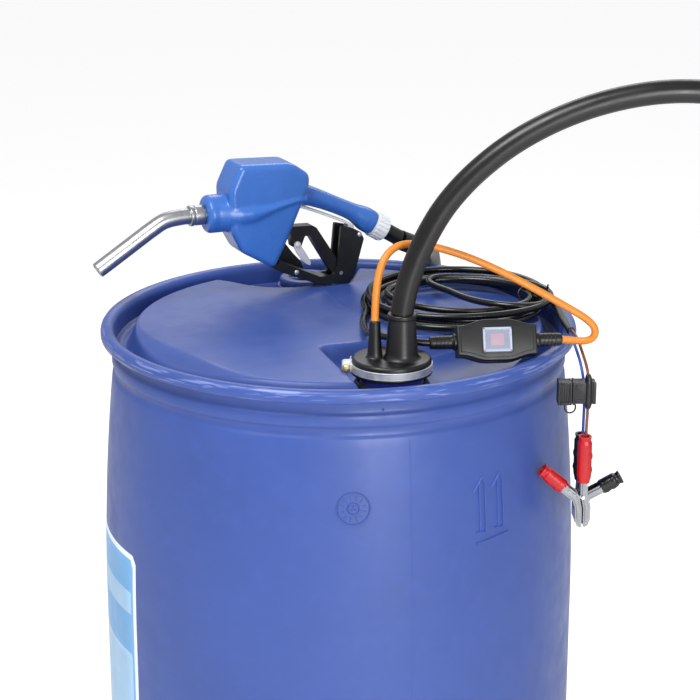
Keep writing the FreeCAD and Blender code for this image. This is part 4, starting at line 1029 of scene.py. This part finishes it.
def lever_parts(space, side, way, across, reach):
    """The short arm: two cheeks outside the standing arm, joined by a spine, with its own jaw."""
    def spots(*places):
        return [tuple(way * along + across * out) for along, out in places]

    face = mirrored([(0.7, -36), (3, -37), (6.4, -35), (9, -28), (9.4, -12)], side)
    face += spots((5.8, 11.2), (reach, 11.4), (reach, 1.2), (5.2, 0.4))
    face += mirrored([(3, -3), (0.7, -14)], side)
    dish = mirrored([(2.6, -30), (4.6, -31), (6.8, -26), (7, -12)], side)
    dish += spots((7, 9), (reach - 2, 9.2), (reach - 2, 3.4), (7, 2.8)) + mirrored([(2.6, -13)], side)
    spine = mirrored([(9, -28), (9.4, -12)], side)
    spine += spots((5.8, 11.2), (reach, 11.4), (reach, 10), (6.6, 9.8))
    spine += mirrored([(8, -12), (7.6, -28)], side)
    return [
        plate(space, face, 6, 7, 0.4, 0.8), plate(space, face, -7, -6, 0.4, 0.8),
        plate(space, dish, 6.6, 7.9, 0.6, 1), plate(space, spine, -6.8, 6.8, 0.3, 0.4),
    ] + teeth(space, -side, -32)


def make_clamps():
    made = {}
    for colour, (space, side, degrees, reach) in CLAMPS.items():
        lean = math.radians(degrees)
        way = Vector((side * math.sin(lean), math.cos(lean)))
        across = Vector((way.y, -way.x)) * side
        arm = merged(f"{colour}_fixed_arm", arm_parts(space, side), "clamp_steel", smooth_angle=30)
        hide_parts(f"{colour}_clamp_arm")
        short = lever_parts(space, side, way, across, reach - 12)
        lever = merged(f"{colour}_short_arm", short, "clamp_steel", 30, f"{colour}_lever")
        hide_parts(f"{colour}_clamp_lever")
        standing = merged(f"{colour}_upper_grip", [
            grip_tube(space, Vector((-side, 17)), Vector((0, 1)), 56, -side),
        ], f"{colour}_sleeve", smooth_angle=60)
        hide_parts(f"{colour}_clamp_grip")
        swinging = merged(f"{colour}_lower_grip", [
            grip_tube(space, way * 21 + across * 6, way, reach - 22, side),
        ], f"{colour}_sleeve", body=f"{colour}_lever", smooth_angle=60)
        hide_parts(f"{colour}_lever_grip")
        made[colour] = [standing]
    return made


# ---- nozzle

YAW = math.radians(24)
NOZZLE_ALONG = Vector((math.cos(YAW), math.sin(YAW), 0))
NOZZLE = Frame((-0.021, 0.1629, 0.9325), NOZZLE_ALONG, (0, 0, 1), NOZZLE_ALONG.cross(UPRIGHT))


def oval_body(stations, power):
    """A lofted body of the nozzle, from (x, y, half width, half height) stations along it."""
    path = [NOZZLE.at(x, y) for x, y, _, _ in stations]
    return loft(path, [(wide, high) for _, _, wide, high in stations], (0, 0, 1), power)


def smooth_line(route, steps):
    """A line of points that passes through every point of the route."""
    fine = []
    for index, (start, stop) in enumerate(zip(route, route[1:])):
        first = route[max(0, index - 1)]
        last = route[min(len(route) - 1, index + 2)]
        for step in range(steps):
            share = step / steps
            fine.append(0.5 * (
                2 * start + (stop - first) * share + (2 * first - 5 * start + 4 * stop - last) * share ** 2
                + (3 * start - first - 3 * stop + last) * share ** 3
            ))
    return fine + [route[-1]]


def make_nozzle():
    along, out = NOZZLE.way(1, 0), NOZZLE.way(0, 0, 1)
    housing = [
        (-133, 86), (-118, 58), (-109, 53), (-80, 36), (-73, 38), (-55, 74), (-40, 107), (-27, 135),
        (-27, 151), (-50, 167), (-120, 170), (-135, 139),
    ]
    head = [
        (0.3, -160), (19, -160, 1), (23, -157.5, 2), (24, -154, 2), (24, -134, 3), (26, -128, 3), (27, -112),
        (0.3, -112),
    ]
    bulge = (
        (-146, 107, 24, 23), (-134, 107, 28, 23), (-120, 107, 31.5, 21), (-106, 107.5, 33, 18),
        (-92, 109.5, 32.4, 14), (-76, 113, 31, 10), (-58, 117, 30.4, 8.5), (-42, 120, 29.6, 9),
        (-30, 119, 26, 12),
    )
    handle = (
        (-44, 123, 15, 17), (-30, 121, 14.5, 14.5), (-16, 117, 14, 12.6), (0, 110.5, 13.4, 11.6),
        (18, 102.4, 13, 11), (34, 94.8, 13, 11), (44, 89.6, 13.6, 11.8), (52, 85, 15, 14),
        (59, 80.2, 15.8, 15.8), (66.5, 75.2, 15.8, 15.8), (69.6, 73.2, 15, 15),
    )
    body = melted("nozzle_shell", [
        plate(NOZZLE, housing, -28, 28, 7, 6), turned_part(head, NOZZLE.at(0, 107), along, 64),
        oval_body(bulge, 2.2), oval_body(handle, 2.3),
    ], "nozzle_plastic", "nozzle", 1.3, 9)
    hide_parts("nozzle_body")
    line = [(-36, 107.4), (-14, 99), (8, 89.6), (26, 81.6), (36, 76.6), (41, 73.4)]
    upper = [(x + 0.6, y + 1.4) for x, y in line]
    lower = [(x - 0.6, y - 1.4) for x, y in reversed(line)]
    strip = merged("lock_strip", [
        plate(NOZZLE, upper + lower, -8, 8, 0.7, 0),
        plate(NOZZLE, [(31, 57), (39, 54), (42.4, 71), (40, 76.5), (34, 77)], -7.4, 7.4, 0.8, 1.2),
    ], "grey_plastic", body="nozzle", smooth_angle=35)
    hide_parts("handle_strip")
    route = [Vector(point) for point in (
        (-138, 107), (-170, 107), (-192, 106.6), (-212, 103.6), (-229, 94.6), (-247, 83.4), (-272, 67.6),
        (-299.5, 50.3),
    )]
    path = [NOZZLE.at(spot.x, spot.y) for spot in smooth_line(route, 8)]
    mouth = ((-0.35, 9.6, 9.6), (-0.35, 9.0, 9.0), (0, 8.6, 8.6), (30, 8.6, 8.6))
    tube = merged("spout_tube", [
        loft(path, [(10, 10)] * len(path), out, columns=48, hollow=mouth),
    ], "bright_steel", body="nozzle", smooth_angle=50)
    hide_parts("spout")
    nut = merged("spout_collar", [turned_part([
        (10.05, 0), (12.2, 0, 0.6), (13, 0.8, 0.6), (13, 4.6, 0.6), (12, 5.4, 0.4), (11.9, 6.4, 0.4),
        (12.6, 7.2, 0.5), (12.6, 18.6, 0.8), (10.05, 19),
    ], NOZZLE.at(-180, 107), along, 64)], "bright_steel", body="nozzle")
    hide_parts("spout_nut")
    for name, width in (
        ("guard", 1.2), ("lever", 1.4), ("lever_pin", 0.5), ("swivel_nut", 0.6), ("swivel_tail", 0.4),
    ):
        soften_node(name, width)
    leaf = merged("latch_leaf", [
        plate(NOZZLE, [
            (-38.5, 62.6), (-42.4, 60.6), (-43.4, 55), (-38.5, 45), (-32, 36.5), (-26, 31), (-20.4, 28.6),
            (-19.6, 32.5), (-23, 40), (-28, 48), (-32.6, 55), (-34, 60.6),
        ], 8.2, 10.2, 0.5, 2.2),
        turned_part([(0.1, -20), (3, -20), (3, 0.4), (4, 0.4, 0.4), (4, 1.6, 1), (0.1, 2)],
                    NOZZLE.at(-38, 58, 10.1), out, 32),
    ], "zinc_steel", body="latch", smooth_angle=35)
    # The leaf takes the lighter, half-metallic copy of the zinc steel, painted light against the shade it
    # lies in.
    leaf.data.materials[0] = MATERIALS["latch_steel"]
    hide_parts("hold_open_latch")
    web = merged("guard_web", [plate(NOZZLE, [
        (-76, 42), (-63, 66), (-53, 63), (-46, 55), (-37, 43), (-26, 31), (-20, 17), (-54, 31), (-71, 40),
    ], -12.4, -9.8, 0.5, 1.5)], "black_plastic", body="nozzle", smooth_angle=35)
    rivet = [(0.1, -1), (3.4, -1), (3.4, 0.5, 0.5), (2.4, 1.5, 0.8), (0.1, 1.6)]
    rivets = merged("guard_rivets", [
        turned_part(rivet, NOZZLE.at(x, y, 13), out, 24) for x, y in ((47, 63), (-41, 22.5))
    ], "zinc_steel", body="nozzle")


# ---- cords

HOSE_ROUTE = [
    (0.0705, -0.196, 0.997), (0.074, -0.196, 1.022), (0.083, -0.196, 1.052), (0.097, -0.196, 1.086),
    (0.118, -0.196, 1.122), (0.149, -0.196, 1.157), (0.191, -0.196, 1.191), (0.243, -0.196, 1.219),
    (0.3, -0.196, 1.238), (0.361, -0.196, 1.247), (0.424, -0.196, 1.243), (0.486, -0.194, 1.226),
    (0.542, -0.19, 1.194), (0.59, -0.184, 1.146), (0.622, -0.176, 1.082), (0.638, -0.166, 1),
    (0.645, -0.154, 0.89), (0.648, -0.14, 0.76), (0.65, -0.12, 0.62), (0.651, -0.092, 0.48),
    (0.652, -0.056, 0.35), (0.652, -0.008, 0.23), (0.65, 0.048, 0.13), (0.643, 0.112, 0.058),
    (0.626, 0.18, 0.024), (0.594, 0.246, 0.015), (0.542, 0.3, 0.0135), (0.472, 0.335, 0.0133),
    (0.392, 0.352, 0.0134), (0.312, 0.356, 0.015), (0.24, 0.352, 0.027), (0.184, 0.348, 0.064),
    (0.157, 0.345, 0.122), (0.143, 0.345, 0.2), (0.136, 0.346, 0.31), (0.134, 0.348, 0.44),
    (0.133, 0.349, 0.56), (0.133, 0.348, 0.665), (0.132, 0.3475, 0.745), (0.131, 0.345, 0.8),
    (0.1305, 0.341, 0.845), (0.129, 0.332, 0.886), (0.1265, 0.313, 0.921), (0.1215, 0.285, 0.945),
    (0.115, 0.254, 0.957), (0.102, 0.225, 0.966), (0.0796, 0.2076, 0.9793),
]
ORANGE_ROUTE = [
    (0.0405, -0.193, 0.988), (0.041, -0.192, 1.012), (0.044, -0.188, 1.038), (0.051, -0.18, 1.058),
    (0.066, -0.17, 1.069), (0.088, -0.165, 1.069), (0.115, -0.163, 1.063), (0.15, -0.162, 1.051),
    (0.19, -0.161, 1.032), (0.228, -0.16, 1.011), (0.26, -0.158, 0.992), (0.278, -0.157, 0.981),
    (0.2895, -0.156, 0.971), (0.2925, -0.155, 0.9615), (0.289, -0.153, 0.9536), (0.28, -0.1494, 0.9499),
    (0.2675, -0.1462, 0.9499), (0.2547, -0.1447, 0.9507),
]
CABLE_NEAR_ROUTE = [
    (0.1033, -0.1579, 0.9507), (0.086, -0.1586, 0.952), (0.067, -0.1545, 0.9544), (0.05, -0.141, 0.954),
    (0.04, -0.119, 0.949), (0.033, -0.09, 0.943), (0.0295, -0.058, 0.94), (0.029, -0.024, 0.94),
    (0.034, 0.01, 0.941),
]
CABLE_FAR_ROUTE = [
    (0.264, 0.036, 0.9445), (0.266, -0.002, 0.9445), (0.2665, -0.04, 0.9445), (0.269, -0.066, 0.9445),
    (0.271, -0.084, 0.944),
]
LIVE_UPPER_ROUTE = [
    (0.2726, -0.092, 0.9458), (0.275, -0.106, 0.945), (0.2775, -0.122, 0.941), (0.28, -0.14, 0.933),
    (0.2825, -0.156, 0.925), (0.284, -0.166, 0.917), (0.284, -0.17, 0.911),
]
LIVE_LOWER_ROUTE = [
    (0.284, -0.17, 0.882), (0.2845, -0.171, 0.871), (0.2835, -0.173, 0.859), (0.283, -0.1745, 0.84),
]
RETURN_ROUTE = [
    (0.2704, -0.092, 0.9424), (0.272, -0.106, 0.94), (0.274, -0.124, 0.934), (0.277, -0.142, 0.925),
    (0.279, -0.154, 0.914), (0.281, -0.158, 0.9), (0.2815, -0.1584, 0.884), (0.282, -0.1574, 0.864),
    (0.2815, -0.1555, 0.834),
]
# The coil's turns, one row each from the left side on: centre, half length and half depth of
# the oval, its slant in degrees, and the height of the cable's middle.
TURNS = [
    (0.143, 0.054, 0.114, 0.128, 0, 0.9392),
    (0.142, 0.055, 0.106, 0.117, 0, 0.9389),
    (0.146, 0.058, 0.098, 0.100, 0, 0.9390),
    (0.147, 0.052, 0.088, 0.084, 0, 0.9430),
    (0.150, 0.062, 0.092, 0.072, -8, 0.9478),
    (0.190, 0.056, 0.086, 0.040, -50, 0.9515),
    (0.146, 0.058, 0.110, 0.124, 0, 0.9478),
    (0.150, 0.060, 0.116, 0.128, 0, 0.9440),
]
COIL_START = 198
COIL_END = 8 - 6 * 360
COIL_POINTS = 112


def coil_point(angle):
    """A point of the coil; the angle in degrees falls as the cable winds clockwise."""
    passed = (COIL_START - angle) / 360
    row = min(int(passed), len(TURNS) - 2)
    share = passed - row
    cx, cy, half_long, half_deep, slant, height = [
        first + (last - first) * share for first, last in zip(TURNS[row], TURNS[row + 1])
    ]
    slant = math.radians(slant)
    turn = math.radians(angle) - slant
    wander = 1 + 0.012 * math.sin(2 * turn + 1.7 * row) + 0.008 * math.sin(3 * turn + 0.9 * row)
    across = half_long * wander * math.cos(turn)
    deep = half_deep * wander * math.sin(turn)
    return (
        cx + across * math.cos(slant) - deep * math.sin(slant),
        cy + across * math.sin(slant) + deep * math.cos(slant),
        height + 0.0008 * math.sin(3 * turn + row),
    )


def coil_turns():
    step = (COIL_END - COIL_START) / COIL_POINTS
    return [coil_point(COIL_START + step * number) for number in range(COIL_POINTS + 1)]


def cord_curve(name, points, diameter, finish, sides=5):
    data = bpy.data.curves.new(name, "CURVE")
    data.dimensions = "3D"
    data.bevel_depth = diameter / 2
    data.bevel_resolution = sides
    data.resolution_u = 8
    data.use_fill_caps = True
    spline = data.splines.new("NURBS")
    spline.points.add(len(points) - 1)
    for point, place in zip(spline.points, points):
        point.co = (*place, 1)
    spline.order_u = 3
    spline.use_endpoint_u = True
    piece = bpy.data.objects.new(name, data)
    scene.collection.objects.link(piece)
    data.materials.append(MATERIALS[finish])
    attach(piece, "root")
    return piece


def make_tie_and_sleeve():
    """A soft tie round the coil's right side, and the sleeve where the two wires come out."""
    ring = []
    for step in range(61):
        angle = 2 * math.pi * step / 60 + 0.6
        swell = 1 + 0.05 * math.sin(3 * angle)
        ring.append(Vector((0.2405 + 0.0185 * swell * math.cos(angle), 0.05 + 0.006 * math.sin(angle),
                            0.9478 + 0.0125 * swell * math.sin(angle))))
    parts = [loft(ring, [(1.1, 0.7)] * 61, (0, 1, 0), columns=10)]
    start = ring[0]
    for turn, rise in ((0.6, 4.5), (-0.5, 3.5)):
        tail = [
            start + Vector((0.001 * rise * share * 0.6, turn * 0.008 * share, 0.001 * rise * share ** 1.4))
            for share in (0, 0.25, 0.5, 0.75, 1)
        ]
        parts.append(loft(tail, [(1.1, 0.7)] * 5, (0.3, 1, 0.2), columns=10))
    tie = merged("coil_tie", parts, "black_sheath")
    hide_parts("cable_tie")
    sleeve = merged("wire_exit_sleeve", [turned_part([
        (0.2, -0.6), (4.6, -0.6, 0.3), (5.0, 0.3, 0.4), (5.0, 6, 0.8), (3.8, 8, 0.6), (0.2, 8),
    ], (0.271, -0.084, 0.944), (0.12, -0.99, 0), 32)], "black_sheath")
    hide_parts("jacket_sleeve")
    return [tie, sleeve]


def make_cords():
    hose = cord_curve("hose", HOSE_ROUTE, 0.026, "hose_rubber", 9)
    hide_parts("delivery_hose")
    orange = cord_curve("pump_lead", ORANGE_ROUTE, 0.0086, "orange_sheath")
    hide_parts("orange_cable")
    run = CABLE_NEAR_ROUTE[:-1] + coil_turns() + CABLE_FAR_ROUTE
    battery = cord_curve("battery_cable", run, 0.0086, "black_sheath")
    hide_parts("battery_cable_near", "cable_coil", "battery_cable_far")
    make_tie_and_sleeve()
    live = cord_curve("live_wire", LIVE_UPPER_ROUTE, 0.0034, "live_sheath")
    lower = cord_curve("live_wire_lower", LIVE_LOWER_ROUTE, 0.0034, "live_sheath")
    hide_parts("live_lead")
    back = cord_curve("return_wire", RETURN_ROUTE, 0.0034, "return_sheath")
    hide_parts("return_lead")


dress_nodes()
make_drum()
make_cap()
make_rear_plug()
switch_pieces = make_switch()
fuse_pieces = make_fuse_holder()
clamp_pieces = make_clamps()
make_nozzle()
make_cords()
